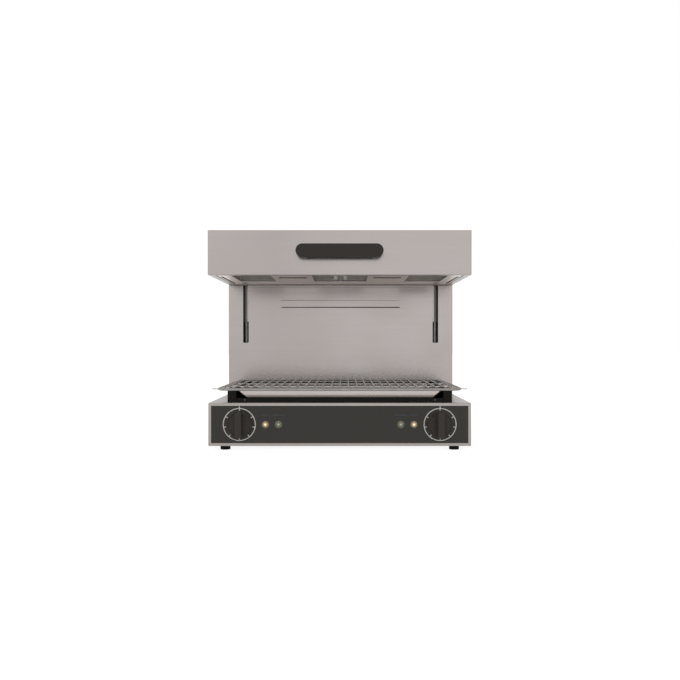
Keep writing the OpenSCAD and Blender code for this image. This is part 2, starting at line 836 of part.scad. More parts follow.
cover_rim = 1;
cover_z0 = floor_top + 3 * cover_rim;
cover_z1 = wall_z1 - cover_rim;
cover_half = half_w - cover_rim;
cover_screw_x = inner_half - flange_w / 2;
cover_screw_zs = [
    base_z0 + 2 * flange_w, base_z1 - flange_w, base_z1 + 2 * flange_w,
    (base_z1 + wall_z1) / 2, wall_z1 - 2 * flange_w
];

module cover_screw_places() {
    for (side = SIDES, z = cover_screw_zs) translate([side * cover_screw_x, 0, z]) children();
}

module rear_cover() color(steel) placed() difference() {
    wide(cover_half, column_back, cover_back, cover_z0, cover_z1);
    cover_screw_places()
        bar_y(cover_screw_dia + 2 * seat_gap, 0, 0, column_back - bite, cover_back + bite);
    bar_y(gland_dia + 2 * seat_gap, gland_x, gland_up, column_back - bite, cover_back + bite);
    for (side = SIDES, group = [base_z1 + vent_low, wall_z1 - vent_high], row = [0 : vent_count - 1])
        translate([side * vent_x, 0, group + row * 2 * vent_h])
            wide(vent_w / 2, column_back - bite, cover_back + bite, 0, vent_h);
}

// Screws with flat round heads that hold the rear cover to the casings' flanges.
module cover_screws() color(zinc) placed() cover_screw_places() {
    bar_y(2 * cover_screw_dia, 0, 0, cover_back, cover_back + cover_screw_dia / 2);
    bar_y(cover_screw_dia, 0, 0, column_back + seat_gap, cover_back + bite);
}

gland_flange = 4;
gland_in = 12;
gland_rim = 2;
gland_hex = gland_dia + 4 * gland_rim;

module cable_gland() color(black) placed() difference() {
    union() {
        bar_y(gland_hex, gland_x, gland_up, cover_back, cover_back + gland_flange * 2, $fn = 6);
        bar_y(gland_dia + gland_rim, gland_x, gland_up, cover_back + gland_flange, rear_end);
        bar_y(gland_dia, gland_x, gland_up, column_back - gland_in, cover_back + bite);
        bar_y(gland_hex, gland_x, gland_up, column_back - gland_flange, column_back, $fn = 6);
    }
    bar_y(cable_dia, gland_x, gland_up, column_back - gland_in - bite, rear_end + bite);
}

module terminal_block() color(cream) placed() difference() {
    x1 = gland_x - terminal_gap;
    d1 = column_back - terminal_in;
    z1 = floor_top + terminal_h;
    block(x1 - terminal_w, x1, d1 - terminal_d, d1, floor_top, z1);
    for (i = [-2 : 2])
        bar_z(terminal_pitch / 2, x1 - terminal_w / 2 + i * terminal_pitch, d1 - terminal_d / 2,
            z1 - terminal_h / 2, z1 + bite);
}

// ---------- lift ----------

module guide_base() color(zinc) placed() difference() {
    union() {
        wide(inner_half - seat_gap, column_face + sheet_t, bracket_back, guide_base_z,
            guide_base_z + bracket_t);
        both() bar_z(boss_dia, slot_x, guide_d, guide_base_z, guide_base_z + bracket_t + boss_h);
    }
    both() bar_z(guide_dia, slot_x, guide_d, guide_base_z - bite,
        guide_base_z + bracket_t + boss_h + bite);
}

module guide_top() color(zinc) placed() difference() {
    union() {
        wide(inner_half - seat_gap, column_face + sheet_t, bracket_back, guide_top_z,
            guide_top_z + bracket_t);
        wide(slot_x - boss_dia, column_face + sheet_t, column_face + sheet_t + bracket_t,
            guide_top_z - 2 * bracket_t, guide_top_z + bite);
    }
    both() bar_z(guide_dia, slot_x, guide_d, guide_top_z - bite,
        guide_top_z + bracket_t + bite);
}

module guide_rod(side) color(zinc) placed()
    bar_z(guide_dia, side * slot_x, guide_d, guide_base_z, guide_top_z + bracket_t + guide_over);

module left_guide_rod() guide_rod(LEFT);
module right_guide_rod() guide_rod(RIGHT);

bush_bore = guide_dia + 2 * running_gap;
sleeve_bore = sleeve_dia - 2 * sleeve_t;

module sleeve(side) color(black) placed() translate([side * slot_x, guide_d, 0]) difference() {
    bar_z(sleeve_dia, 0, 0, sleeve_z0, sleeve_z1);
    bar_z(sleeve_bore, 0, 0, sleeve_z0 - bite, sleeve_z1 + bite);
}

module left_sleeve() sleeve(LEFT);
module right_sleeve() sleeve(RIGHT);

module guide_bushes() color([0.72, 0.55, 0.3]) placed()
    for (side = SIDES, z = [sleeve_z0, sleeve_z1 - bush_l])
        translate([side * slot_x, guide_d, 0]) difference() {
            bar_z(sleeve_bore, 0, 0, z, z + bush_l);
            bar_z(bush_bore, 0, 0, z - bite, z + bush_l + bite);
        }

module arm_bolt_places() {
    for (side = SIDES, rise = [-bolt_rise, bolt_rise])
        translate([side * (slot_x - arm_t / 2 - arm_foot / 2), 0, (arm_z0 + arm_z1) / 2 + rise])
            children();
}

// Arm from the hood's back through the slot to its sleeve, with a bolted foot in the hood.
module arm(side) color(zinc) placed() difference() {
    on_side(side) {
        block(slot_x - arm_t / 2, slot_x + arm_t / 2, hood_d - sheet_t - bracket_t,
            guide_d - sleeve_dia / 2 + sleeve_lap, arm_z0, arm_z1);
        block(slot_x - arm_t / 2 - arm_foot, slot_x, hood_d - sheet_t - bracket_t,
            hood_d - sheet_t, arm_z0, arm_z1);
    }
    arm_bolt_places() bar_y(bolt_dia, 0, 0, hood_d - 2 * bracket_t - bite, hood_d + bite);
    translate([side * slot_x, guide_d, 0]) bar_z(sleeve_dia, 0, 0, arm_z0 - bite, arm_z1 + bite);
}

module left_arm() arm(LEFT);
module right_arm() arm(RIGHT);

module carriage() color(zinc) placed() difference() {
    union() {
        wide(carriage_half, carriage_front, carriage_back, arm_z0, arm_z1);
        both() block(strut_x - strut_dia, strut_x + strut_dia, carriage_back - bite,
            strut_d + strut_dia / 2 + 2, arm_z1 - bracket_t, arm_z1);
    }
    both() bar_z(sleeve_dia, slot_x, guide_d, arm_z0 - bite, arm_z1 + bite);
    both() bar_z(stud_dia, strut_x, strut_d, arm_z1 - bracket_t - bite, arm_z1 + bite);
    wide(strut_x - 2 * strut_dia, carriage_front - bite, carriage_back + bite,
        arm_z0 + carriage_rim, arm_z1 - carriage_rim);
}

module strut_tube(side) color(black) placed() translate([side * strut_x, strut_d, 0])
    difference() {
        union() {
            bar_z(strut_dia, 0, 0, strut_z0, strut_z1);
            bar_z(stud_dia, 0, 0, strut_z1 - bite, strut_z1 + stud_l);
        }
        bar_z(strut_rod_dia + 2 * running_gap, 0, 0, strut_z0 - bite, strut_z0 + strut_plug + bite);
        bar_z(strut_dia - 2 * strut_wall, 0, 0, strut_z0 + strut_plug, strut_z1 - strut_plug);
    }

module left_strut_tube() strut_tube(LEFT);
module right_strut_tube() strut_tube(RIGHT);

module strut_rod(side) color(zinc) placed() translate([side * strut_x, strut_d, 0]) {
    bar_z(strut_rod_dia, 0, 0, strut_foot - bracket_t - nut_h, strut_z0 + strut_plug + 4);
    bar_z(strut_dia - 2 * strut_wall - 2 * running_gap, 0, 0, strut_z0 + strut_plug + 3,
        strut_z0 + strut_plug + 3 + piston_h);
}

module left_strut_rod() strut_rod(LEFT);
module right_strut_rod() strut_rod(RIGHT);

// Bridge that stands on the base's floor and holds the gas springs' rods.
module strut_mount() color(zinc) placed() difference() {
    wide(mount_half, mount_front, mount_back, floor_top, strut_foot);
    wide(mount_half - bracket_t, mount_front - bite, mount_back + bite, floor_top - bite,
        strut_foot - bracket_t);
    both() bar_z(strut_rod_dia, strut_x, strut_d, strut_foot - bracket_t - bite,
        strut_foot + bite);
}

// ---------- hood ----------

// Folded outer shell, open below between its lips and open at the back.
module hood_shell() color(steel) placed() difference() {
    wide(half_w, 0, hood_d, hood_z0, hood_z1);
    wide(inner_half, sheet_t, hood_d + bite, lip_top, hood_z1 - sheet_t);
    wide(inner_half - flange_w, sheet_t + flange_w, hood_d + bite, hood_z0 - bite,
        hood_z1 - sheet_t);
    handle_screw_places()
        bar_y(handle_screw_dia + 2 * seat_gap, 0, 0, -bite, sheet_t + bite);
}

module hood_back() color(steel) placed() difference() {
    union() {
        wide(inner_half - seat_gap, hood_d - sheet_t, hood_d, lip_top,
            hood_z1 - sheet_t - seat_gap);
        wide(inner_half - flange_w - seat_gap, hood_d - flange_w, hood_d, hood_z0, lip_top);
    }
    both() block(slot_x - arm_t / 2 - seat_gap, slot_x + arm_t / 2 + seat_gap,
        hood_d - sheet_t - bite, hood_d + bite, arm_z0 - seat_gap, arm_z1 + seat_gap);
    arm_bolt_places()
        bar_y(bolt_dia, 0, 0, hood_d - sheet_t - bite, hood_d + bite);
}

// Bottom plate with three heat windows, a small slot in each plate between them and air slots.
module hood_bottom() color(steel) placed() difference() {
    wide(inner_half - seat_gap, sheet_t + seat_gap, hood_d - sheet_t - seat_gap - bracket_t,
        lip_top, plate_top);
    cut_plate(-middle_window_w / 2, middle_window_w / 2, window_front, window_back);
    both() {
        cut_plate(window_edge, window_edge + outer_window_w, window_front, window_back);
        translate([(middle_window_w + window_plate_w) / 2, 0, 0])
            cut_plate(-plate_slot_w / 2, plate_slot_w / 2, plate_slot_front,
                plate_slot_front + plate_slot_l);
        translate([half_w - air_slot_inset, 0, 0])
            cut_plate(-air_slot_w / 2, air_slot_w / 2, air_slot_front,
                air_slot_front + air_slot_l);
    }
}

// An opening through the bottom plate.
module cut_plate(x0, x1, d0, d1) {
    block(x0, x1, d0, d1, lip_top - bite, plate_top + bite);
}

module reflector(side) color([0.85, 0.85, 0.86]) placed() on_side(side) difference() {
    block(reflector_in, reflector_out, reflector_front, reflector_back, plate_top, reflector_z1);
    block(reflector_in + sheet_t, reflector_out - sheet_t, reflector_front + sheet_t,
        reflector_back - sheet_t, plate_top - bite, reflector_z1 - sheet_t);
    for (leg = [0, element_legs - 1])
        bar_y(2 * element_hole, leg_x(leg), element_z, reflector_back - 2 * sheet_t,
            reflector_back + bite);
}

module left_reflector() reflector(LEFT);
module right_reflector() reflector(RIGHT);

function leg_x(leg) = element_mid + (leg - (element_legs - 1) / 2) * element_pitch;

// Tubular element of six legs, with its two ends through the reflector's back wall.
module element(side) color(dark_steel) placed() on_side(side) {
    for (leg = [0 : element_legs - 1]) {
        at_end = leg == 0 || leg == element_legs - 1;
        bar_y(element_dia, leg_x(leg), element_z, element_front,
            at_end ? element_end : element_turn);
    }
    for (leg = [0 : element_legs - 2]) {
        front = leg % 2 == 0;
        translate([leg_x(leg) + element_bend, front ? element_front : element_turn, element_z])
            rotate(front ? 180 : 0) rotate_extrude(angle = 180)
                translate([element_bend, 0]) circle(d = element_dia);
    }
}

module left_element() element(LEFT);
module right_element() element(RIGHT);

// Notched bars across the windows that the elements lie in.
module element_supports() color(dark_steel) placed() both() for (share = bar_places) {
    d = element_front + share * (element_turn - element_front);
    difference() {
        block(leg_x(0) - element_bend + 4, leg_x(element_legs - 1) + element_bend - 4, d,
            d + element_bar_t, plate_top, element_z);
        for (leg = [0 : element_legs - 1])
            bar_y(element_dia + 2 * running_gap, leg_x(leg), element_z, d - bite,
                d + element_bar_t + bite);
    }
}

module insulation() color(wool) placed()
    wide(reflector_out, reflector_front, reflector_back, reflector_z1,
        reflector_z1 + insulation_t);

// Bolts through the arms' feet and the nuts on the gas springs' studs.
module hood_bolts() color(zinc) placed() {
    arm_bolt_places() {
        bar_y(bolt_dia, 0, 0, hood_d - sheet_t - bracket_t - nut_h - 2, hood_d + bite);
        bar_y(2 * bolt_dia, 0, 0, hood_d, hood_d + bolt_head_t);
        bar_y(2 * bolt_dia - 1, 0, 0, hood_d - sheet_t - bracket_t - nut_h,
            hood_d - sheet_t - bracket_t, $fn = 6);
    }
    both() difference() {
        bar_z(stud_dia + 6, strut_x, strut_d, arm_z1, arm_z1 + nut_h, $fn = 6);
        bar_z(stud_dia, strut_x, strut_d, arm_z1 - bite, arm_z1 + nut_h + bite);
    }
}

module handle_screw_places() {
    for (side = SIDES) translate([side * handle_screw_x, 0, handle_z]) children();
}

// Bow handle with fully round ends, bored for its two screws.
module handle() color(black) placed() difference() {
    r = handle_h / 2;
    union() {
        for (side = SIDES)
            bar_y(handle_h, side * (handle_half - r), handle_z, -handle_out, 0);
        wide(handle_half - r, -handle_out, 0, handle_z - r, handle_z + r);
    }
    wide(handle_half - handle_foot, -handle_out + handle_grip, bite, handle_z - r - bite,
        handle_z + r + bite);
    handle_screw_places() bar_y(handle_screw_dia, 0, 0, -handle_screw_l, bite);
}

module handle_screws() color(zinc) placed() handle_screw_places() {
    bar_y(handle_screw_dia, 0, 0, -handle_screw_l, sheet_t + bite);
    bar_y(handle_head_dia, 0, 0, sheet_t, sheet_t + handle_head_t);
}

base_casing();
base_floor();
fascia_panel();
control_panel();
column_front();
column_top();
rear_cover();
guide_base();
guide_top();
strut_mount();
left_guide_rod();
right_guide_rod();
left_strut_rod();
right_strut_rod();
left_regulator();
right_regulator();
left_dial_scale();
right_dial_scale();
lamp_marks();
left_lamp_bodies();
right_lamp_bodies();
amber_lenses();
green_lenses();
left_tray_rail();
right_tray_rail();
front_tray_bar();
rear_tray_bar();
rail_screws();
cable_gland();
terminal_block();
feet();
foot_screws();
cover_screws();
hood_shell();
hood_back();
hood_bottom();
left_reflector();
right_reflector();
left_element();
right_element();
element_supports();
insulation();
left_arm();
right_arm();
carriage();
left_sleeve();
right_sleeve();
guide_bushes();
left_strut_tube();
right_strut_tube();
hood_bolts();
handle();
handle_screws();
left_knob();
right_knob();
left_spindle();
right_spindle();
drip_tray();
wire_rack();
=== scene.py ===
# %% [markdown]
# # A lift-top salamander grill, dressed for the studio
#
# A salamander grill melts cheese and browns food from above. This one has a low base with two
# heat dials, a wire rack over a drip tray, and a hood with the heating elements that slides up
# and down on a column at the back. Every piece made here is laid over that skeleton and takes
# its measures from it, so the looks follow the construction.

import json
import math

import bmesh
import bpy
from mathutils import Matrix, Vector


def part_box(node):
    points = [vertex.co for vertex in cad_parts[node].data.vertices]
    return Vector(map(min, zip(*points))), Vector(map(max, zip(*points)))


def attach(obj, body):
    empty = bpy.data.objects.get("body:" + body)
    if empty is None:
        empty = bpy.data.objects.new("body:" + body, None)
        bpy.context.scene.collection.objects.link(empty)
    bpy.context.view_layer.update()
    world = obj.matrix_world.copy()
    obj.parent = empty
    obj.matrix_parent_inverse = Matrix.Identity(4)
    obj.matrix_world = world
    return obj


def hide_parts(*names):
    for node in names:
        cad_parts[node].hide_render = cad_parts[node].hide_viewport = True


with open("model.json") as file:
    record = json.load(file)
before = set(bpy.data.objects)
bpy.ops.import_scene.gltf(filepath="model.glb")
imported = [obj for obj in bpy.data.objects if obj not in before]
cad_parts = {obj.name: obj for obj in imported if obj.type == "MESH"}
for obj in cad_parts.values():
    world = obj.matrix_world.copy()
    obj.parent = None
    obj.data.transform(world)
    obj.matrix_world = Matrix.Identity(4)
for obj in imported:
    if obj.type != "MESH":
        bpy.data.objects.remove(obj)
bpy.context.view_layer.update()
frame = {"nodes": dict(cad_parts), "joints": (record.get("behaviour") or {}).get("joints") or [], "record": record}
MM = 0.001
print("nodes:", len(frame["nodes"]))


# %% [markdown]
# ## The camera
#
# A product is shown square to the front and from some distance, so that the sides hardly show.
# The camera's height decides what is seen of the rack and of the hood's underside: here it
# looks level from a little over the rack. A camera that looks level keeps all uprights
# parallel, and a small lens shift then moves the view without tilting them.

# %% Camera
hood_low, hood_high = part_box("hood_shell")
HOOD_FRONT = hood_low.y
CAMERA_BACK = 1889 * MM
CAMERA_RIGHT = 14.4 * MM
CAMERA_UP = 248 * MM
LENS_PIXELS = 831
FRAME_PIXELS = 680
VANISHING_POINT = (346.0, 341.3)
SENSOR_MILLIMETRES = 36

bpy.ops.object.camera_add(
    location=(CAMERA_RIGHT, HOOD_FRONT - CAMERA_BACK, CAMERA_UP),
    rotation=(math.radians(90), 0, 0),
)
camera = bpy.context.object
camera.name = "studio_camera"
camera.data.sensor_width = SENSOR_MILLIMETRES
camera.data.lens = SENSOR_MILLIMETRES * LENS_PIXELS / FRAME_PIXELS
camera.data.shift_x = (FRAME_PIXELS / 2 - VANISHING_POINT[0]) / FRAME_PIXELS
camera.data.shift_y = (VANISHING_POINT[1] - FRAME_PIXELS / 2) / FRAME_PIXELS
bpy.context.scene.camera = camera
bpy.context.scene.view_settings.view_transform = "Standard"
print("lens:", round(camera.data.lens, 2), "mm")


# %% [markdown]
# ## Ways of working
#
# An operator acts on whatever is selected, and the loaded nodes start out selected, so every
# step begins by choosing just one object. In edit mode the edges and faces to work on are then
# picked by where they lie or which way they look, as a hand would click on them.

# %% Choosing an object, and edges or faces on it
def choose(obj):
    """Makes obj the only selected object, and the active one."""
    bpy.ops.object.select_all(action="DESELECT")
    obj.select_set(True)
    bpy.context.view_layer.objects.active = obj


def start_edit(obj, kind="FACE"):
    """Opens obj in edit mode with nothing selected."""
    choose(obj)
    bpy.ops.object.mode_set(mode="EDIT")
    bpy.ops.mesh.select_mode(type=kind)
    bpy.ops.mesh.select_all(action="DESELECT")


def end_edit():
    """Goes back to object mode."""
    bpy.ops.object.mode_set(mode="OBJECT")


def pick_faces(obj, test):
    """Selects the faces whose centre and normal pass the test, and only those."""
    mesh = bmesh.from_edit_mesh(obj.data)
    for face in mesh.faces:
        face.select_set(test(face.calc_center_median(), face.normal))
    mesh.select_flush_mode()
    bmesh.update_edit_mesh(obj.data)


def pick_edges(obj, test):
    """Selects the edges whose middle and direction pass the test, and only those."""
    mesh = bmesh.from_edit_mesh(obj.data)
    for edge in mesh.edges:
        ends = [vertex.co for vertex in edge.verts]
        edge.select_set(test((ends[0] + ends[1]) / 2, (ends[1] - ends[0]).normalized()))
    mesh.select_flush_mode()
    bmesh.update_edit_mesh(obj.data)


def facing(axis, sign):
    """A test for faces that look along an axis: up it for sign 1, down it for sign -1."""
    return lambda centre, normal: sign * getattr(normal, axis) > 0.99


def running(axis):
    """A test for edges that run along an axis."""
    return lambda middle, along: abs(getattr(along, axis)) > 0.9


def near(a, b, reach=0.01 * MM):
    """True where two lengths are the same to a hundredth of a millimetre."""
    return abs(a - b) < reach


print("helpers for choosing are ready")


# %% [markdown]
# A few helpers cover most metal work. A block is the stock to start from. Bevelled edges stand
# for the radius of a bend, because folded sheet never has a sharp outer edge and the rounded
# edge is what catches the light. A Solidify modifier gives a folded skin its sheet thickness
# towards the inside. A Boolean modifier cuts windows and slots as a punch would, with a tool
# that reaches through the sheet and past it.

# %% Stock, bends, sheet thickness and cuts
THROUGH = 5 * MM


def settle(name):
    """Names the newest object, and puts its place and scale into its mesh."""
    obj = bpy.context.object
    obj.name = name
    bpy.ops.object.transform_apply(location=True, rotation=True, scale=True)
    return obj


def block(name, low, high):
    """Adds a box between two corners."""
    low, high = Vector(low), Vector(high)
    bpy.ops.object.select_all(action="DESELECT")
    bpy.ops.mesh.primitive_cube_add(size=1, location=(low + high) / 2)
    bpy.context.object.scale = high - low
    return settle(name)


def rod(name, start, end, diameter, sides=32):
    """Adds a cylinder between two points."""
    start, end = Vector(start), Vector(end)
    along = end - start
    bpy.ops.object.select_all(action="DESELECT")
    bpy.ops.mesh.primitive_cylinder_add(
        vertices=sides,
        radius=diameter / 2,
        depth=along.length,
        location=(start + end) / 2,
        rotation=along.to_track_quat("Z", "Y").to_euler(),
    )
    return settle(name)


def bend_edges(obj, radius, test, segments=4):
    """Rounds the edges that the test picks."""
    start_edit(obj, "EDGE")
    pick_edges(obj, test)
    bpy.ops.mesh.bevel(offset=radius, segments=segments, affect="EDGES")
    end_edit()


def shape_faces(obj, test, operator, **settings):
    """Runs one edit operator on the faces that the test picks."""
    start_edit(obj)
    pick_faces(obj, test)
    operator(**settings)
    end_edit()


def remove_faces(obj, test):
    """Deletes the faces that the test picks."""
    shape_faces(obj, test, bpy.ops.mesh.delete, type="FACE")


def open_framed(obj, test, border, **settings):
    """Opens the faces that the test picks, and leaves a border round the opening."""
    start_edit(obj)
    pick_faces(obj, test)
    bpy.ops.mesh.inset(thickness=border, **settings)
    bpy.ops.mesh.delete(type="FACE")
    end_edit()


def use_modifier(obj, kind, **settings):
    """Adds a modifier with its settings and applies it."""
    choose(obj)
    modifier = obj.modifiers.new(kind.title(), kind)
    for setting, value in settings.items():
        setattr(modifier, setting, value)
    bpy.ops.object.modifier_apply(modifier=modifier.name)


def give_thickness(obj, thickness):
    """Turns a skin into sheet metal that lies inside the skin."""
    use_modifier(obj, "SOLIDIFY", thickness=thickness, offset=-1, use_even_offset=True)


def combine(obj, tool, operation="DIFFERENCE"):
    """Cuts a tool out of obj, or joins it on, and throws the tool away."""
    use_modifier(obj, "BOOLEAN", operation=operation, object=tool, solver="EXACT")
    bpy.data.objects.remove(tool)


def soften(obj, radius, segments=2, angle=30):
    """Breaks all edges that are sharper than the angle, in degrees, by a small radius."""
    limit = math.radians(angle)
    use_modifier(
        obj, "BEVEL", width=radius, segments=segments, limit_method="ANGLE", angle_limit=limit
    )


def join(name, parts):
    """Makes one piece of several parts."""
    choose(parts[0])
    for part in parts[1:]:
        part.select_set(True)
    bpy.ops.object.join()
    parts[0].name = name
    return parts[0]


print("helpers for metal work are ready")


# %% [markdown]
# A finished piece is shaded smooth except at its sharp edges. Weighted normals then keep the
# large flat faces truly flat in the light, and all the turning happens in the narrow bends.
# Each piece rides on the body that carries it, hides the plain node that it stands for, and
# gets its finish, or a better look.

# %% Finishing a piece
def finish_piece(obj, body, finish, *nodes, look=None, angle=38):
    """Shades a piece, gives it its finish, or a better look, and ties it to the frame.
    A piece whose parts have their own finishes already keeps them."""
    choose(obj)
    bpy.ops.object.shade_smooth_by_angle(angle=math.radians(angle))
    use_modifier(obj, "WEIGHTED_NORMAL", keep_sharp=True)
    if not any(obj.data.materials):
        obj.data.materials.clear()
        obj.data.materials.append(look or FINISHES[finish])
    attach(obj, body)
    if nodes:
        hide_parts(*nodes)
    print(obj.name, "has", len(obj.data.polygons), "faces and rides on", body)


# %% [markdown]
# ## Materials
#
# All patterns read Object coordinates, in metres, so they have a real scale and stay put on
# their piece. Each finish starts from the main shader with its uniform numbers set on it, and
# noise then varies what is not uniform on the real thing: colour, roughness and the height of
# the surface. A Mix node has sockets for every kind of data under the same names, so its
# sockets are chosen by number.

# %% A shader and its patterns
MIX_FACTOR = 0
MIX_NUMBERS = (2, 3)
MIX_COLOURS = (6, 7)
MIXED_NUMBER = 0
MIXED_COLOUR = 2


def feed(tree, node, feeds):
    """Sets inputs of a node, each to a value or to another node's output."""
    for socket, value in feeds.items():
        if isinstance(value, bpy.types.NodeSocket):
            tree.links.new(value, node.inputs[socket])
        else:
            node.inputs[socket].default_value = value


def add_node(tree, kind, feeds=None, **settings):
    """Adds a shader node with its settings and its inputs."""
    node = tree.nodes.new("ShaderNode" + kind)
    for setting, value in settings.items():
        setattr(node, setting, value)
    feed(tree, node, feeds or {})
    return node


def new_finish(name, colour, metallic=0.0, roughness=0.5, specular=0.5):
    """Starts a material and returns it with its node tree and shader."""
    material = bpy.data.materials.new(name)
    material.use_nodes = True
    tree = material.node_tree
    shader = tree.nodes["Principled BSDF"]
    uniform = {
        "Base Color": (*colour, 1),
        "Metallic": metallic,
        "Roughness": roughness,
        "Specular IOR Level": specular,
    }
    feed(tree, shader, uniform)
    return material, tree, shader


def noise(tree, stretch, detail=3):
    """Noise on Object coordinates; stretch is how many blotches lie in a metre on each axis."""
    place = add_node(tree, "TexCoord").outputs["Object"]
    mapping = add_node(tree, "Mapping", {"Vector": place, "Scale": stretch})
    feeds = {"Vector": mapping.outputs["Vector"], "Scale": 1, "Detail": detail}
    return add_node(tree, "TexNoise", feeds).outputs["Fac"]


def spread(tree, value, low, high):
    """Maps a noise softly to the range from low to high."""
    feeds = {"Value": value, "From Min": 0.25, "From Max": 0.75, "To Min": low, "To Max": high}
    return add_node(tree, "MapRange", feeds, interpolation_type="SMOOTHSTEP").outputs["Result"]


def blend_colours(tree, factor, *pair):
    """Mixes two colours by a factor."""
    feeds = {MIX_FACTOR: factor}
    for socket, colour in zip(MIX_COLOURS, pair):
        feeds[socket] = (*colour, 1) if isinstance(colour, tuple) else colour
    return add_node(tree, "Mix", feeds, data_type="RGBA").outputs[MIXED_COLOUR]


def raise_surface(tree, shader, height, depth):
    """Feeds a height pattern to the shader as a bump of the given depth in metres."""
    bump = add_node(tree, "Bump", {"Strength": 1, "Distance": depth, "Height": height})
    feed(tree, shader, {"Normal": bump.outputs["Normal"]})


print("helpers for materials are ready")


# %% [markdown]
# Brushed stainless steel is made by a belt that runs along the sheet. Its grain is many fine
# parallel scratches, long one way and only a fraction of a millimetre apart the other way. On
# upright faces they run level, and on level faces they run from side to side, so two stretched
# noises are mixed by how far the surface faces up. Level faces also lie across the light and
# look duller. A slow third noise gives the faint clouds that handling leaves.

# %% Sheet metals
ALONG_GRAIN = 5
ACROSS_GRAIN = 1400
HANDLED_SPOTS = (7, 7, 9)
WARM_TINT = (1.015, 0.995, 0.97)
LEVEL_DULLER = 0.12


def metal_sheet(name, colour, roughness, shade=0.05, scratch=0.004 * MM):
    """Brushed or plain metal with level grain, faint clouds and uneven gloss."""
    material, tree, shader = new_finish(name, colour, metallic=1, roughness=roughness)
    normal = add_node(tree, "TexCoord").outputs["Normal"]
    parts = add_node(tree, "SeparateXYZ", {"Vector": normal})
    level = add_node(tree, "Math", {0: parts.outputs["Z"]}, operation="ABSOLUTE").outputs[0]
    feeds = {
        MIX_FACTOR: level,
        MIX_NUMBERS[0]: noise(tree, (ALONG_GRAIN, ALONG_GRAIN, ACROSS_GRAIN)),
        MIX_NUMBERS[1]: noise(tree, (ALONG_GRAIN, ACROSS_GRAIN, ALONG_GRAIN)),
    }
    grain = add_node(tree, "Mix", feeds).outputs[MIXED_NUMBER]
    clouds = noise(tree, HANDLED_SPOTS, detail=2)
    dark = tuple(part * (1 - shade) for part in colour)
    light = tuple(part * (1 + shade) for part in colour)
    warm = tuple(part * tint for part, tint in zip(colour, WARM_TINT))
    grained = blend_colours(tree, spread(tree, grain, 0, 1), dark, light)
    gloss = spread(tree, clouds, roughness - 0.03, roughness + 0.04)
    duller = add_node(
        tree, "Math", {0: level, 1: LEVEL_DULLER, 2: gloss}, operation="MULTIPLY_ADD"
    )
    tinted = blend_colours(tree, spread(tree, clouds, 0, 0.5), grained, warm)
    feed(tree, shader, {"Base Color": tinted, "Roughness": duller.outputs[0]})
    raise_surface(tree, shader, grain, scratch)
    return material


FINISHES = {
    "stainless": metal_sheet("brushed_stainless", (0.335, 0.307, 0.297), 0.21, shade=0.035),
    "reflector_steel": metal_sheet("reflector_sheet", (0.4, 0.368, 0.345), 0.4),
    "zinc_steel": metal_sheet("zinc_plate", (0.44, 0.45, 0.46), 0.42, shade=0.08),
}
print("sheet metals:", sorted(FINISHES))


# %% [markdown]
# Chromed wire is smooth and bright, with small uneven spots where it was dipped. The heating
# elements' sheath is steel that has gone grey-black in the heat, darker in some places than in
# others. Sintered bronze is porous, which shows as a fine speckle. All three are two colours
# in soft clouds over a fine surface texture, and so are the coatings and plastics that follow.

# %% Wire, sheath and bronze
def clouded_finish(name, colour, other, roughness, spots, grain, height, duller=0.05, **base):
    """Two colours in soft clouds, with uneven gloss and a fine surface texture."""
    material, tree, shader = new_finish(name, colour, roughness=roughness, **base)
    cloud = noise(tree, (spots, spots, spots))
    fine = noise(tree, (grain, grain, grain))
    mixed = blend_colours(tree, spread(tree, cloud, 0, 1), colour, other)
    gloss = spread(tree, cloud, roughness - 0.05, roughness + duller)
    feed(tree, shader, {"Base Color": mixed, "Roughness": gloss})
    raise_surface(tree, shader, fine, height)
    return material


def worn_metal(name, colour, other, roughness, spots, metallic=1.0):
    """Metal whose colour and gloss change from place to place."""
    return clouded_finish(
        name, colour, other, roughness, spots, 900, 0.01 * MM, duller=0.08, metallic=metallic
    )


FINISHES["chrome"] = worn_metal("chromed_wire", (0.52, 0.495, 0.48), (0.43, 0.41, 0.4), 0.16, 60)
FINISHES["dark_steel"] = worn_metal(
    "element_sheath", (0.13, 0.12, 0.112), (0.2, 0.178, 0.162), 0.5, 45, metallic=0.6
)
FINISHES["bronze"] = worn_metal("bush_bronze", (0.36, 0.22, 0.1), (0.28, 0.17, 0.08), 0.45, 300)
print("worn metals are ready")


# %% [markdown]
# Enamel, moulded plastic and rubber are dark and not metallic. What tells them apart is the
# surface: enamel has a soft orange-peel waviness and some gloss, moulded plastic a fine spark
# texture from its mould, and rubber is matt with a slightly dusty, uneven tone.

# %% Enamel, plastic, rubber, ceramic and wool
def dull_finish(name, colour, other, roughness, specular, grain, height, spots=25):
    """A coating or plastic; grain and height describe its fine surface texture."""
    return clouded_finish(
        name, colour, other, roughness, spots, grain, height, specular=specular
    )


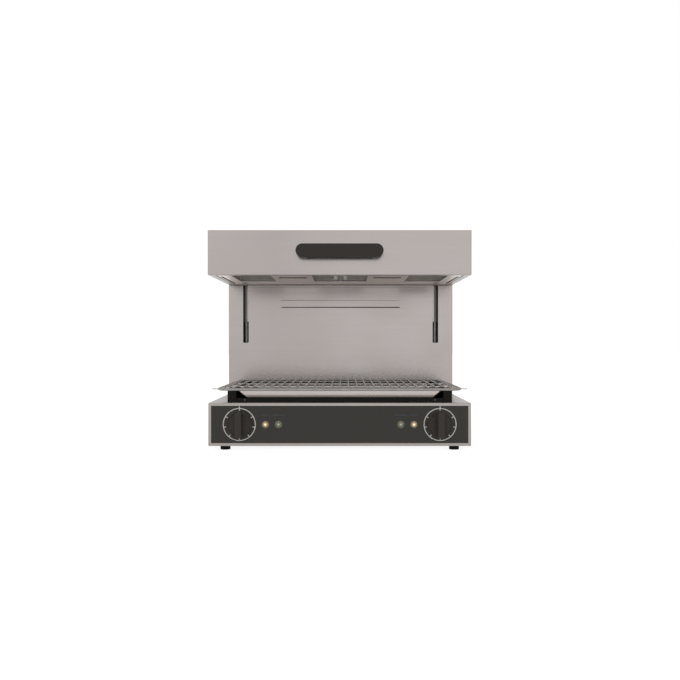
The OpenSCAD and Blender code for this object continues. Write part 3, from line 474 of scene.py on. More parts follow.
FINISHES["black_enamel"] = dull_finish(
    "black_enamel_coat", (0.006, 0.006, 0.005), (0.01, 0.009, 0.008),
    roughness=0.42, specular=0.12, grain=500, height=0.02 * MM,
)
FINISHES["fascia_black"] = dull_finish(
    "fascia_film", (0.0272, 0.0235, 0.0192), (0.0312, 0.0266, 0.0222),
    roughness=0.45, specular=0.35, grain=2500, height=0.008 * MM,
)
FINISHES["black_plastic"] = dull_finish(
    "moulded_black", (0.047, 0.04, 0.034), (0.052, 0.0445, 0.038),
    roughness=0.52, specular=0.22, grain=1800, height=0.015 * MM,
)
FINISHES["rubber"] = dull_finish(
    "foot_rubber", (0.003, 0.003, 0.003), (0.006, 0.0055, 0.005),
    roughness=0.75, specular=0.12, grain=900, height=0.04 * MM,
)
FINISHES["lamp_body"] = dull_finish(
    "lamp_moulding", (0.17, 0.175, 0.12), (0.21, 0.215, 0.15),
    roughness=0.28, specular=0.6, grain=1500, height=0.01 * MM,
)
FINISHES["cream_ceramic"] = dull_finish(
    "steatite", (0.62, 0.57, 0.47), (0.54, 0.49, 0.4),
    roughness=0.6, specular=0.4, grain=700, height=0.03 * MM,
)
FINISHES["mineral_wool"] = dull_finish(
    "wool_slab", (0.55, 0.47, 0.26), (0.42, 0.35, 0.18),
    roughness=0.9, specular=0.1, grain=350, height=1.2 * MM, spots=60,
)
FINISHES["cream_print"] = dull_finish(
    "screen_print", (0.84, 0.83, 0.79), (0.76, 0.75, 0.7),
    roughness=0.6, specular=0.3, grain=2200, height=0.01 * MM, spots=120,
)
print("finishes so far:", len(FINISHES))


# %% [markdown]
# A pilot lamp's lens is clear coloured plastic over a small light. It is brightest in the
# middle and keeps its full colour only near the rim. The distance from the lamp's own axis
# gives that fall-off. Both sides of the base are mirror images, so the width is measured
# without its sign and one formula serves the left and the right lamp.

# %% Lamp lenses
FULL_GLOW = 0.1
NO_GLOW = 0.7


def lens_finish(name, node, glow, rim, strength):
    """Coloured lens that glows most round its own axis."""
    low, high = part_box(node)
    radius = (high.z - low.z) / 2
    axis = (high.x - radius, 0, (low.z + high.z) / 2)
    material, tree, shader = new_finish(name, rim, roughness=0.12)
    place = add_node(tree, "TexCoord").outputs["Object"]
    parts = add_node(tree, "SeparateXYZ", {"Vector": place}).outputs
    across = add_node(tree, "Math", {0: parts["X"]}, operation="ABSOLUTE").outputs[0]
    point = add_node(tree, "CombineXYZ", {"X": across, "Z": parts["Z"]}).outputs["Vector"]
    distance = add_node(tree, "VectorMath", {0: point, 1: axis}, operation="DISTANCE")
    feeds = {
        "Value": distance.outputs["Value"],
        "From Min": radius * FULL_GLOW,
        "From Max": radius * NO_GLOW,
    }
    falloff = add_node(tree, "MapRange", feeds, interpolation_type="SMOOTHSTEP")
    tint = blend_colours(tree, falloff.outputs["Result"], glow, rim)
    feed(tree, shader, {"Base Color": tint, "Emission Color": tint})
    feed(tree, shader, {"Emission Strength": strength, "Coat Weight": 0.6})
    return material


FINISHES["amber_lens"] = lens_finish(
    "amber_lamp", "amber_lenses", glow=(0.95, 0.83, 0.62), rim=(0.28, 0.17, 0.06), strength=0.75
)
FINISHES["green_lens"] = lens_finish(
    "green_lamp", "green_lenses", glow=(0.42, 0.44, 0.37), rim=(0.09, 0.115, 0.06), strength=0.27
)
print("lenses:", FINISHES["amber_lens"].name, FINISHES["green_lens"].name)


# %% [markdown]
# The engineering nodes that stay in view keep their own shape, and get the finish that the
# part's record names for them. A few deserve a better look: the guide rods are oiled and
# duller than the chromed rack, the sleeves are greyer than the enamel, and the marks over the
# lamps are printed in a thin grey-blue ink. The hood's underside is smoother than brushed
# sheet and far paler than the stainless: painted light that lifts it where it lies in shade.
# The tray is smoother and paler too, and its paleness is painted light where it lies in shade
# under the rack. The bars under the heaters are tinted by the heat. The rack's thick rod has a
# darker chrome than its thin wires: painted shade on the same chrome. The handle is a darker
# copy of the knobs' moulding: painted shade against the stronger light on it. The seal is a
# grey cord, and its grey, darker than the plate beside it, is painted shade in the joint. Nodes
# that are replaced later are hidden by their piece.

# %% Finish the nodes of the frame
OILED_ROD = worn_metal(
    "oiled_rod", (0.43, 0.4, 0.37), (0.36, 0.335, 0.31), 0.45, 40, metallic=0.4
)
# Painted shade: a darker copy of the wire chrome for the thick frame rod, standing in for the shade that falls on
# it.
SHADED_ROD_CHROME = worn_metal("chromed_rod_painted_shade", (0.28, 0.265, 0.255), (0.23, 0.218, 0.21), 0.2, 60)
HEATED_STEEL = worn_metal("heated_steel", (0.32, 0.29, 0.26), (0.25, 0.225, 0.2), 0.4, 60)
# Painted light: a much paler copy of the stainless for the hood's underside, which lifts it where it lies in
# shade.
LIT_UNDERSIDE_SHEET = metal_sheet(
    "underside_painted_light", (0.78, 0.725, 0.695), 0.26, shade=0.02, scratch=0.002 * MM
)
# Painted light: a paler, smoother copy of the stainless for the tray, which lifts it where it lies in shade under
# the rack.
LIT_TRAY_SHEET = metal_sheet(
    "tray_sheet_painted_light", (0.44, 0.405, 0.386), 0.15, shade=0.02, scratch=0.002 * MM
)
GREY_SLEEVE = dull_finish(
    "sleeve_coat", (0.28, 0.255, 0.235), (0.33, 0.3, 0.275),
    roughness=0.34, specular=0.7, grain=600, height=0.02 * MM,
)
# Painted shade: a darker copy of the knobs' black plastic, made darker to offset the stronger light that falls on
# the handle.
SHADED_HANDLE_BLACK = dull_finish(
    "handle_black_painted_shade", (0.042, 0.035, 0.03), (0.047, 0.0395, 0.034),
    roughness=0.48, specular=0.14, grain=1800, height=0.015 * MM,
)
# Painted shade: the seal's grey, darker than the plate beside it, stands in for the shade in the rear joint.
SHADE_SEAL_GREY = dull_finish(
    "seal_cord_painted_shade", (0.38, 0.35, 0.32), (0.44, 0.405, 0.37),
    roughness=0.8, specular=0.1, grain=700, height=0.08 * MM, spots=90,
)
GREY_INK = dull_finish(
    "lamp_ink", (0.075, 0.085, 0.1), (0.06, 0.068, 0.08),
    roughness=0.6, specular=0.3, grain=2200, height=0.01 * MM, spots=120,
)
BETTER_FINISHES = {
    "left_guide_rod": OILED_ROD,
    "right_guide_rod": OILED_ROD,
    "left_sleeve": GREY_SLEEVE,
    "right_sleeve": GREY_SLEEVE,
    "lamp_marks": GREY_INK,
    "element_supports": HEATED_STEEL,
}
for row in frame["record"]["subparts"]:
    name = row["node"]
    node = frame["nodes"][name]
    node.data.materials.clear()
    node.data.materials.append(BETTER_FINISHES.get(name, FINISHES[row["material_slot"]]))


# %% [markdown]
# ## The hood
#
# The hood's outer skin is one folded sheet: a front, a top and two sides, with a narrow lip
# turned in all round its lower edge. It starts as a block. The edges that are bends get their
# radius, the open back is removed, the bottom is inset by the width of the lip and opened, and
# the skin then gets its thickness inwards.

# %% Hood skin
SHEET = 1.2 * MM
BEND = 1.4 * MM
LIP = 15.2 * MM

hood = block("hood_skin", hood_low, hood_high)
bend_edges(hood, BEND, lambda middle, along: not near(middle.y, hood_high.y))
remove_faces(hood, lambda centre, normal: near(centre.y, hood_high.y))
open_framed(hood, facing("z", -1), LIP - BEND, use_boundary=False)
give_thickness(hood, SHEET)
finish_piece(hood, "hood", "stainless", "hood_shell")


# %% [markdown]
# The hood's bottom plate is punched. Three wide windows let the heat out, a narrow slot lies in
# each plate between them, and a long air slot runs along each side. Each opening is a block
# that a Boolean modifier takes away. Punched edges are never quite sharp, so they are softened.

# %% Hood underside
WINDOW_FRONT = HOOD_FRONT + 40 * MM
WINDOW_BACK = HOOD_FRONT + 235 * MM
MIDDLE_WINDOW = (-65 * MM, 65 * MM)
OUTER_WINDOW = (161 * MM, 252 * MM)
PLATE_SLOT = (80 * MM, 146 * MM)
PLATE_SLOT_FRONT = HOOD_FRONT + 86 * MM
PLATE_SLOT_BACK = HOOD_FRONT + 134 * MM
AIR_SLOT = (275.5 * MM, 280.5 * MM)
AIR_SLOT_FRONT = HOOD_FRONT + 62.5 * MM
AIR_SLOT_BACK = HOOD_FRONT + 312.5 * MM
BURR = 0.35 * MM

plate_low, plate_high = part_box("hood_bottom")
underside = block("hood_underside", plate_low, plate_high)


def punch(across, front, back, mirrored=True):
    """Cuts an opening through the underside, on both sides alike."""
    sides = [across, (-across[1], -across[0])] if mirrored else [across]
    for left, right in sides:
        low = (left, front, plate_low.z - MM)
        combine(underside, block("punch", low, (right, back, plate_high.z + MM)))


punch(MIDDLE_WINDOW, WINDOW_FRONT, WINDOW_BACK, mirrored=False)
punch(OUTER_WINDOW, WINDOW_FRONT, WINDOW_BACK)
punch(PLATE_SLOT, PLATE_SLOT_FRONT, PLATE_SLOT_BACK)
punch(AIR_SLOT, AIR_SLOT_FRONT, AIR_SLOT_BACK)
soften(underside, BURR)
# The underside gets the pale copy of the stainless: painted light.
finish_piece(underside, "hood", "stainless", "hood_bottom", look=LIT_UNDERSIDE_SHEET)


# %% [markdown]
# The hood's rear edge is hemmed: a narrow strip is folded straight down between the two arms.
# It is thin, but it draws a light line along the joint between the hood and the column. A grey
# seal lies in the corner before it and keeps the heat in. Its grey, darker than the plate
# beside it, is painted shade that draws the dark line of the joint.

# %% Rear hem and seal
HEM_HEIGHT = 5.4 * MM
HEM_HALF = 247 * MM
HEM_THICK = 1.4 * MM
HEM_LAP = 0.4 * MM
HEM_BEND = 0.6 * MM
SEAL_HEIGHT = 1.3 * MM
SEAL_DEEP = 12.95 * MM
SEAL_HALF = 286 * MM
SEAL_GAP = 0.05 * MM
SEAL_BEND = 0.8 * MM

hem_front = hood_high.y - HEM_THICK
hem = block(
    "hood_rear_hem",
    (-HEM_HALF, hem_front, hood_low.z - HEM_HEIGHT),
    (HEM_HALF, hood_high.y, hood_low.z + HEM_LAP),
)
bend_edges(hem, HEM_BEND, lambda middle, along: middle.z < hood_low.z - MM, segments=3)
finish_piece(hem, "hood", "stainless")

seal_back = hem_front - SEAL_GAP
seal = block(
    "hood_rear_seal_painted_shade",
    (-SEAL_HALF, seal_back - SEAL_DEEP, hood_low.z - SEAL_HEIGHT),
    (SEAL_HALF, seal_back, hood_low.z + SHEET),
)
bend_edges(
    seal,
    SEAL_BEND,
    lambda middle, along: middle.z < hood_low.z and not near(middle.y, seal_back),
)
# The seal's darker grey is painted shade in the joint.
finish_piece(seal, "hood", "rubber", look=SHADE_SEAL_GREY)


# %% [markdown]
# Each heating element is one long tube bent to and fro. A curve describes it best: straight
# legs joined by half circles. The curve gets a round bevel, becomes a mesh, and its ends are
# filled. A straight wire is a cylinder with rounded ends.

# %% Tubes and wires
def tube_along(name, points, diameter, closed=False, sides=8):
    """Makes a round tube along a list of points, as a mesh."""
    line = bpy.data.curves.new(name, "CURVE")
    line.dimensions = "3D"
    line.bevel_depth = diameter / 2
    line.bevel_resolution = sides
    line.use_fill_caps = not closed
    spline = line.splines.new("POLY")
    spline.points.add(len(points) - 1)
    for point, place in zip(spline.points, points):
        point.co = (*place, 1)
    spline.use_cyclic_u = closed
    obj = bpy.data.objects.new(name, line)
    bpy.context.scene.collection.objects.link(obj)
    choose(obj)
    bpy.ops.object.convert(target="MESH")
    return bpy.context.object


def wire(name, start, end, diameter, sides=16):
    """A straight wire with rounded ends."""
    obj = rod(name, start, end, diameter, sides)
    axis = (Vector(end) - Vector(start)).normalized()
    bend_edges(
        obj, diameter * 0.3, lambda middle, along: abs(along.dot(axis)) < 0.1, segments=2
    )
    return obj


def arc(centre, radius, start, end, steps=12):
    """Points of a level arc round a centre, with angles in degrees."""
    turns = [math.radians(start + (end - start) * i / steps) for i in range(steps + 1)]
    return [
        Vector((centre[0] + radius * math.cos(t), centre[1] + radius * math.sin(t), centre[2]))
        for t in turns
    ]


print("tubes and wires are ready")

# %% Heating elements
ELEMENT_TUBE = 8 * MM
ELEMENT_LEGS = 6
ELEMENT_REAR_TURN = 44 * MM

for side in ("left", "right"):
    low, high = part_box(side + "_element")
    level = (low.z + high.z) / 2
    first = low.x + ELEMENT_TUBE / 2
    pitch = (high.x - low.x - ELEMENT_TUBE) / (ELEMENT_LEGS - 1)
    front = low.y + ELEMENT_TUBE / 2 + pitch / 2
    rear = high.y - ELEMENT_REAR_TURN
    path = [Vector((first, high.y, level))]
    for leg in range(ELEMENT_LEGS - 1):
        middle = first + (leg + 0.5) * pitch
        if leg % 2 == 0:
            path += arc((middle, front, level), pitch / 2, 180, 360)
        else:
            path += arc((middle, rear, level), pitch / 2, 180, 0)
    path.append(Vector((high.x - ELEMENT_TUBE / 2, high.y, level)))
    tube = tube_along(side + "_heater", path, ELEMENT_TUBE)
    finish_piece(tube, "hood", "dark_steel", side + "_element")


# %% [markdown]
# A reflector pan lies over each element. It is a shallow pan with its mouth down, whose sides
# lean inwards to throw the heat out of the windows. The element's two ends pass through holes
# in its rear wall. A folded plate closes the gap between both pans: a strip along their mouths
# that is turned up at the rear.

# %% Reflectors
PAN_LEAN = 6.5 * MM
PAN_BEND = 3 * MM
PAN_SHEET = 0.8 * MM
PAN_HOLE = 11 * MM
PAN_HOLE_DEEP = 12 * MM

for side in ("left", "right"):
    pan_low, pan_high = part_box(side + "_reflector")
    size = pan_high - pan_low
    pan = block(side + "_reflector_pan", pan_low, pan_high)
    taper = (1 - PAN_LEAN / size.x, 1 - 2 * PAN_LEAN / size.y, 1)
    shape_faces(pan, facing("z", 1), bpy.ops.transform.resize, value=taper)
    bend_edges(pan, PAN_BEND, lambda middle, along: middle.z > pan_low.z + MM, segments=3)
    remove_faces(pan, facing("z", -1))
    give_thickness(pan, PAN_SHEET)
    low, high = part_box(side + "_element")
    level = (low.z + high.z) / 2
    for x in (low.x + ELEMENT_TUBE / 2, high.x - ELEMENT_TUBE / 2):
        inside = (x, pan_high.y - PAN_HOLE_DEEP, level)
        combine(pan, rod("hole", inside, (x, pan_high.y + THROUGH, level), PAN_HOLE))
    finish_piece(pan, "hood", "reflector_steel", side + "_reflector")

# %% Plate between the reflectors
PLATE_TALL = 14 * MM
PLATE_THICK = 1 * MM
PLATE_INSET = 3 * MM
PLATE_LAP = 1 * MM
PLATE_BURR = 0.2 * MM
PLATE_LEAN = PLATE_TALL * PAN_LEAN / size.z / 3

plate_rear = pan_high.y - PLATE_INSET
gap_plate = block(
    "reflector_gap_plate",
    (-pan_low.x - PLATE_LAP, plate_rear - PLATE_THICK, pan_low.z),
    (pan_low.x + PLATE_LAP, plate_rear, pan_low.z + PLATE_TALL),
)
shape_faces(gap_plate, facing("z", 1), bpy.ops.transform.translate, value=(0, -PLATE_LEAN, 0))
gap_strip = block(
    "gap_strip",
    (-pan_low.x, pan_low.y, pan_low.z),
    (pan_low.x, plate_rear - PLATE_THICK, pan_low.z + PAN_SHEET),
)
for part in (gap_plate, gap_strip):
    soften(part, PLATE_BURR)
finish_piece(join("reflector_gap_plate", [gap_plate, gap_strip]), "hood", "zinc_steel")


# %% [markdown]
# The handle is a moulded bow. A block gets fully round ends, a second block takes out the gap
# for the fingers, and then every remaining edge is rounded generously, because a hand has to
# like it. The rounded upper edge is where it catches the light.

# %% Handle
HANDLE_GRIP = 14 * MM
HANDLE_FOOT = 24 * MM
HANDLE_EDGE = 2.2 * MM
HANDLE_ROUND = 0.999
FINGER_CORNER = 8 * MM

handle_low, handle_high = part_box("handle")
handle_radius = (handle_high.z - handle_low.z) / 2 * HANDLE_ROUND
handle = block("grill_handle", handle_low, handle_high)
bend_edges(handle, handle_radius, running("y"), segments=16)
gap = block(
    "finger_gap",
    (handle_low.x + HANDLE_FOOT, handle_low.y + HANDLE_GRIP, handle_low.z - MM),
    (handle_high.x - HANDLE_FOOT, handle_high.y + MM, handle_high.z + MM),
)
bend_edges(
    gap,
    FINGER_CORNER,
    lambda middle, along: abs(along.z) > 0.9 and middle.y < handle_high.y,
    segments=8,
)
combine(handle, gap)
soften(handle, HANDLE_EDGE, segments=4, angle=50)
# The handle's darker plastic is painted shade.
finish_piece(handle, "hood", "black_plastic", "handle", look=SHADED_HANDLE_BLACK)


# %% [markdown]
# ## The column
#
# The column's skin is a second folded sheet: a wide face with two sides, and a narrow flange
# along each rear edge for the cover. Two tall slots with rounded corners let the hood's
# arms through.

# %% Column skin
FLANGE = 14 * MM
SLOT_ACROSS = 14.5 * MM
SLOT_BELOW = 8.5 * MM
SLOT_CORNER = 2.5 * MM
SLOT_ABOVE = 8 * MM

column_low, column_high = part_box("column_front")
column_low.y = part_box("column_top")[0].y
column = block("column_skin", column_low, column_high)
bend_edges(
    column, BEND, lambda middle, along: abs(along.z) > 0.9 and near(middle.y, column_low.y)
)
remove_faces(
    column, lambda centre, normal: abs(normal.z) > 0.9 or near(centre.y, column_high.y)
)


def turn_in_flanges(obj, rear, width):
    """Folds a narrow flange inwards along both upright rear edges."""
    for side in (-1, 1):
        start_edit(obj, "EDGE")
        pick_edges(
            obj,
            lambda middle, along: near(middle.y, rear)
            and abs(along.z) > 0.9
            and middle.x * side > 0,
        )
        move = {"value": (-side * width, 0, 0)}
        bpy.ops.mesh.extrude_region_move(TRANSFORM_OT_translate=move)
        end_edit()


turn_in_flanges(column, column_high.y, FLANGE)
give_thickness(column, SHEET)

arm_low, arm_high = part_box("right_arm")
rod_low, rod_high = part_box("right_guide_rod")
SLOT_X = (rod_low.x + rod_high.x) / 2
LIFT = next(joint for joint in frame["joints"] if joint["name"] == "hood_lift")
travel = -min(LIFT["range_m"])
slot_bottom = arm_low.z - travel - SLOT_BELOW
slot_top = arm_high.z + SLOT_ABOVE
for x in (-SLOT_X, SLOT_X):
    tool = block(
        "slot_punch",
        (x - SLOT_ACROSS / 2, column_low.y - THROUGH, slot_bottom),
        (x + SLOT_ACROSS / 2, column_low.y + THROUGH, slot_top),
    )
    bend_edges(tool, SLOT_CORNER, running("y"), segments=6)
    combine(column, tool)
print("slots run from", round(slot_bottom, 4), "to", round(slot_top, 4))


# %% [markdown]
# A long bead is pressed into the face to stiffen it. Its sides slope, which comes from making
# the rear face of a flat bar smaller, and from moving it up a little: the upper side is steep
# and the lower one gentle. A first bar, larger by the sheet's thickness, is joined on behind as
# the bead's wall, and a second one then cuts the hollow. The gentle slope mirrors the hood, so
# this small step shows from far away.

# %% Pressed bead
BEAD_ACROSS = 322 * MM
BEAD_HEIGHT = 20 * MM
BEAD_DEPTH = 3 * MM
BEAD_ABOVE_BASE = 240.5 * MM
BEAD_SLOPE = 0.45
BEAD_TILT = 0.3
COLUMN_BURR = 0.4 * MM

bead_middle = column_low.z + BEAD_ABOVE_BASE


def bead_bar(name, grow, front, back):
    """A bar with sloping sides; grow widens it, front and back are depths behind the face."""
    half_across = BEAD_ACROSS / 2 + 2 * grow
    half_height = BEAD_HEIGHT / 2 + grow
    bar = block(
        name,
        (-half_across, column_low.y + front, bead_middle - half_height),
        (half_across, column_low.y + back, bead_middle + half_height),
    )
    slope = back - max(front, 0)
    taper = (1 - 2 * slope / half_across, 1, 1 - BEAD_SLOPE * slope / half_height)
    shape_faces(bar, facing("y", 1), bpy.ops.transform.resize, value=taper)
    tilt = (0, 0, BEAD_TILT * slope)
    shape_faces(bar, facing("y", 1), bpy.ops.transform.translate, value=tilt)
    return bar


wall = bead_bar("bead_wall", SHEET / 2, SHEET / 2, BEAD_DEPTH + SHEET)
combine(column, wall, "UNION")
hollow = bead_bar("bead_hollow", 0, 0, BEAD_DEPTH)
ahead = {"value": (0, -MM, 0)}
shape_faces(
    hollow, facing("y", -1), bpy.ops.mesh.extrude_region_move, TRANSFORM_OT_translate=ahead
)
combine(column, hollow)
soften(column, COLUMN_BURR)
finish_piece(column, "cabinet", "stainless", "column_front")


# %% [markdown]
# Behind each slot a dark sleeve slides on a guide rod. A flat steel strip is riveted along
# its inner side, where the sleeve would wear on the slot's edge, and its lower end is rounded.

# %% Sleeve strips
STRIP_FROM = 2.8 * MM
STRIP_TO = 7 * MM
STRIP_PROUD = 0.4 * MM
STRIP_BEFORE_AXIS = 3 * MM
STRIP_UNDER_ARM = 2 * MM
STRIP_CORNER = 1.6 * MM
STRIP_EDGE = 0.25 * MM
RIVET = 2.2 * MM
RIVET_PROUD = 0.6 * MM
RIVET_ABOVE_END = 6 * MM
RIVET_UNDER_ARM = 10 * MM

for side, sign in (("left", -1), ("right", 1)):
    low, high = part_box(side + "_sleeve")
    axis_x = (low.x + high.x) / 2
    inner, outer = sorted((axis_x - sign * STRIP_TO, axis_x - sign * STRIP_FROM))
    middle_x = (inner + outer) / 2
    front = low.y - STRIP_PROUD
    strip = block(
        side + "_sleeve_strip",
        (inner, front, low.z + MM),
        (outer, (low.y + high.y) / 2 - STRIP_BEFORE_AXIS, arm_low.z - STRIP_UNDER_ARM),
    )
    bend_edges(
        strip,
        STRIP_CORNER,
        lambda middle, along: abs(along.y) > 0.9 and middle.z < low.z + 2 * MM,
        segments=6,
    )
    soften(strip, STRIP_EDGE)
    parts = [strip]
    lowest, highest = low.z + RIVET_ABOVE_END, arm_low.z - RIVET_UNDER_ARM
    for height in (lowest, (low.z + arm_low.z) / 2, highest):
        tip = (middle_x, front - RIVET_PROUD, height)
        parts.append(wire("rivet", tip, (middle_x, low.y + MM, height), RIVET))
    finish_piece(join(side + "_sleeve_strip", parts), "hood", "stainless")


# %% [markdown]
# ## The base
#
# The base is folded like the hood, and its front is a frame: the front face is inset by the
# border's width and opened, so that the dark fascia shows in it. Under the column its top is
# cut out for the gas springs and the wiring.

# %% Base skin
BORDER = 6.5 * MM
BASE_BEND = 1.5 * MM
BASE_BURR = 0.3 * MM
WELL_HALF = 280 * MM
WELL_FROM = 16 * MM
WELL_DEEP = 3 * MM

base_low, base_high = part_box("base_casing")
base = block("base_skin", base_low, base_high)
bend_edges(
    base,
    BASE_BEND,
    lambda middle, along: not near(middle.y, base_high.y)
    and not (abs(along.y) > 0.9 and near(middle.z, base_low.z)),
)
remove_faces(base, lambda centre, normal: normal.z < -0.99 or near(centre.y, base_high.y))
open_framed(base, facing("y", -1), BORDER - BASE_BEND)
turn_in_flanges(base, base_high.y, FLANGE)
give_thickness(base, SHEET)
well = block(
    "well",
    (-WELL_HALF, column_low.y + WELL_FROM, base_high.z - WELL_DEEP),
    (WELL_HALF, base_high.y - FLANGE, base_high.z + MM),
)
combine(base, well)
soften(base, BASE_BURR, angle=60)
finish_piece(base, "cabinet", "stainless", "base_casing")


# %% [markdown]
# The frame that carries the tray and the rack is square steel tube, enamelled black. Enamel
# rounds all edges a little. The bars and rails are blocks with rounded edges whose underside
# is opened, and whose wall then grows inwards.

# %% Rails and cross bars
TUBE_WALL = 1.5 * MM
TUBE_EDGE = 1.6 * MM

for node in ("left_tray_rail", "right_tray_rail", "front_tray_bar", "rear_tray_bar"):
    low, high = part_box(node)
    tube = block(node.replace("tray", "rack"), low, high)
    bend_edges(tube, TUBE_EDGE, lambda middle, along: middle.z > low.z + MM, segments=3)
    remove_faces(tube, facing("z", -1))
    give_thickness(tube, TUBE_WALL)
    finish_piece(tube, "cabinet", "black_enamel", node)


# %% [markdown]
# Round parts are turned. Their half outline is drawn point by point by extruding one vertex,
# and the Spin operator then sweeps it round the axis. Where the outline meets the axis its
# points fall together, so doubles are merged and the normals are made to face outwards.

# %% Turning a part
TO_FRONT = Vector((0, -1, 0))
UPWARDS = Vector((0, 0, 1))
OUTWARDS = Vector((1, 0, 0))


def turned(name, axis_point, outline, along=TO_FRONT, steps=64):
    """Sweeps (radius, distance along the axis) pairs round an axis through a point."""
    axis_point = Vector(axis_point)
    places = [axis_point + OUTWARDS * radius + along * reach for radius, reach in outline]
    bpy.ops.object.select_all(action="DESELECT")
    bpy.ops.mesh.primitive_plane_add(size=MM, location=(0, 0, 0))
    obj = bpy.context.object
    obj.name = name
    start_edit(obj, "VERT")
    bpy.ops.mesh.select_all(action="SELECT")
    bpy.ops.mesh.merge(type="CENTER")
    bpy.ops.transform.translate(value=places[0])
    for start, end in zip(places, places[1:]):
        bpy.ops.mesh.extrude_region_move(TRANSFORM_OT_translate={"value": end - start})
    bpy.ops.mesh.select_all(action="SELECT")
    bpy.ops.mesh.spin(steps=steps, angle=2 * math.pi, center=axis_point, axis=along)
    bpy.ops.mesh.select_all(action="SELECT")
    bpy.ops.mesh.remove_doubles(threshold=0.01 * MM)
    bpy.ops.mesh.normals_make_consistent(inside=False)
    end_edit()
    return obj


print("turning is ready")


# %% [markdown]
# A small pan-head screw shows at each end of the front bar. The head is turned, and two thin
# blocks cut the cross recess for the driver.

# %% Screws of the front bar
SCREW_RADIUS = 2.3 * MM
SCREW_RISE = 1.6 * MM
SCREW_SUNK = 0.6 * MM
SCREW_BITE = 0.1 * MM
SCREW_X = 220 * MM
RECESS_ARM = (3 * MM, 0.6 * MM)
RECESS_DEEP = 1 * MM

bar_low, bar_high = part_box("front_tray_bar")
screw_z = (bar_low.z + bar_high.z) / 2
screw_outline = [
    (0, -SCREW_SUNK),
    (SCREW_RADIUS - SCREW_SUNK, -SCREW_SUNK),
    (SCREW_RADIUS, 0),
    (SCREW_RADIUS, SCREW_RISE * 0.4),
    (SCREW_RADIUS - 0.5 * MM, SCREW_RISE * 0.8),
    (SCREW_RADIUS - 1.3 * MM, SCREW_RISE),
    (0, SCREW_RISE),
]
screws = []
for x in (-SCREW_X, SCREW_X):
    place = (x, bar_low.y + SCREW_BITE, screw_z)
    head = turned("bar_screw", place, screw_outline, steps=32)
    for wide, tall in (RECESS_ARM, RECESS_ARM[::-1]):
        tool = block(
            "driver",
            (x - wide / 2, bar_low.y - THROUGH, screw_z - tall / 2),
            (x + wide / 2, bar_low.y - SCREW_RISE + RECESS_DEEP, screw_z + tall / 2),
        )
        combine(head, tool)
    screws.append(head)
finish_piece(join("front_bar_screws", screws), "cabinet", "dark_steel")


# %% [markdown]
# The drip tray is pressed from one sheet. Its end walls lean outwards, so that a stack of
# trays nests and the press lets go of it, and its corners have a generous radius. It starts as
# a block whose floor is made shorter. A cut round it lets the lower part of the long walls
# turn in a little. Its rim is turned out by a few millimetres, which stiffens it and gives the
# fingers a hold.

# %% Drip tray
TRAY_SHEET = 1.0 * MM
TRAY_LEAN = 17 * MM
TRAY_CORNER = 4.5 * MM
TRAY_TURN_HEIGHT = 10 * MM
TRAY_TURN_IN = 2.2 * MM
TRAY_TURN_BEND = 3 * MM
TRAY_RADIUS = 2.2 * MM
TRAY_RIM = 1.6 * MM
TRAY_CLEAR = 1.8 * MM
TRAY_EDGE = 0.4 * MM

tray_low, tray_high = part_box("drip_tray")
tray_high.z -= TRAY_CLEAR
tray_size = tray_high - tray_low
rim = Vector((TRAY_RIM, TRAY_RIM, 0))
tray = block("drip_pan", tray_low + rim, tray_high - rim)
floor_taper = (1 - 2 * TRAY_LEAN / tray_size.x, 1, 1)
shape_faces(tray, facing("z", -1), bpy.ops.transform.resize, value=floor_taper)
bend_edges(tray, TRAY_CORNER, lambda middle, along: abs(along.z) > 0.5, segments=8)
turn_level = tray_low.z + TRAY_TURN_HEIGHT
start_edit(tray)
bpy.ops.mesh.select_all(action="SELECT")
bpy.ops.mesh.bisect(plane_co=(0, 0, turn_level), plane_no=(0, 0, 1))
end_edit()
wall_taper = (1, 1 - 2 * TRAY_TURN_IN / tray_size.y, 1)
shape_faces(tray, facing("z", -1), bpy.ops.transform.resize, value=wall_taper)
bend_edges(tray, TRAY_TURN_BEND, lambda middle, along: near(middle.z, turn_level))
bend_edges(tray, TRAY_RADIUS, lambda middle, along: near(middle.z, tray_low.z))
remove_faces(tray, facing("z", 1))
start_edit(tray, "EDGE")
pick_edges(tray, lambda middle, along: near(middle.z, tray_high.z))
bpy.ops.mesh.extrude_region()
bpy.ops.transform.resize(
    value=(1 + 2 * TRAY_RIM / tray_size.x, 1 + 2 * TRAY_RIM / tray_size.y, 1)
)
end_edit()
give_thickness(tray, TRAY_SHEET)
soften(tray, TRAY_EDGE, angle=50)
# The tray's paler sheet is painted light.
finish_piece(tray, "drip_tray", "stainless", "drip_tray", look=LIT_TRAY_SHEET)


# %% [markdown]
# ## The wire rack
#
# The rack is welded from round wire: a frame of thick rod with rounded corners, thin wires
# from front to back, two stiffeners below them and a stop pin across the front. The frame is a
# closed curve. Each thin wire is a cylinder with rounded ends, cut shorter where the frame's
# corner curves in.

# %% Rack frame
RACK_ROD = 6.5 * MM
RACK_CORNER = 25 * MM
RACK_PIN_OUT = 13 * MM
WIRE = 3 * MM
WIRE_PITCH = 20 * MM
WIRE_PROUD = 0.4 * MM
STIFFENER = 4 * MM
STOP_PIN = 2.6 * MM
WELD = 0.5 * MM

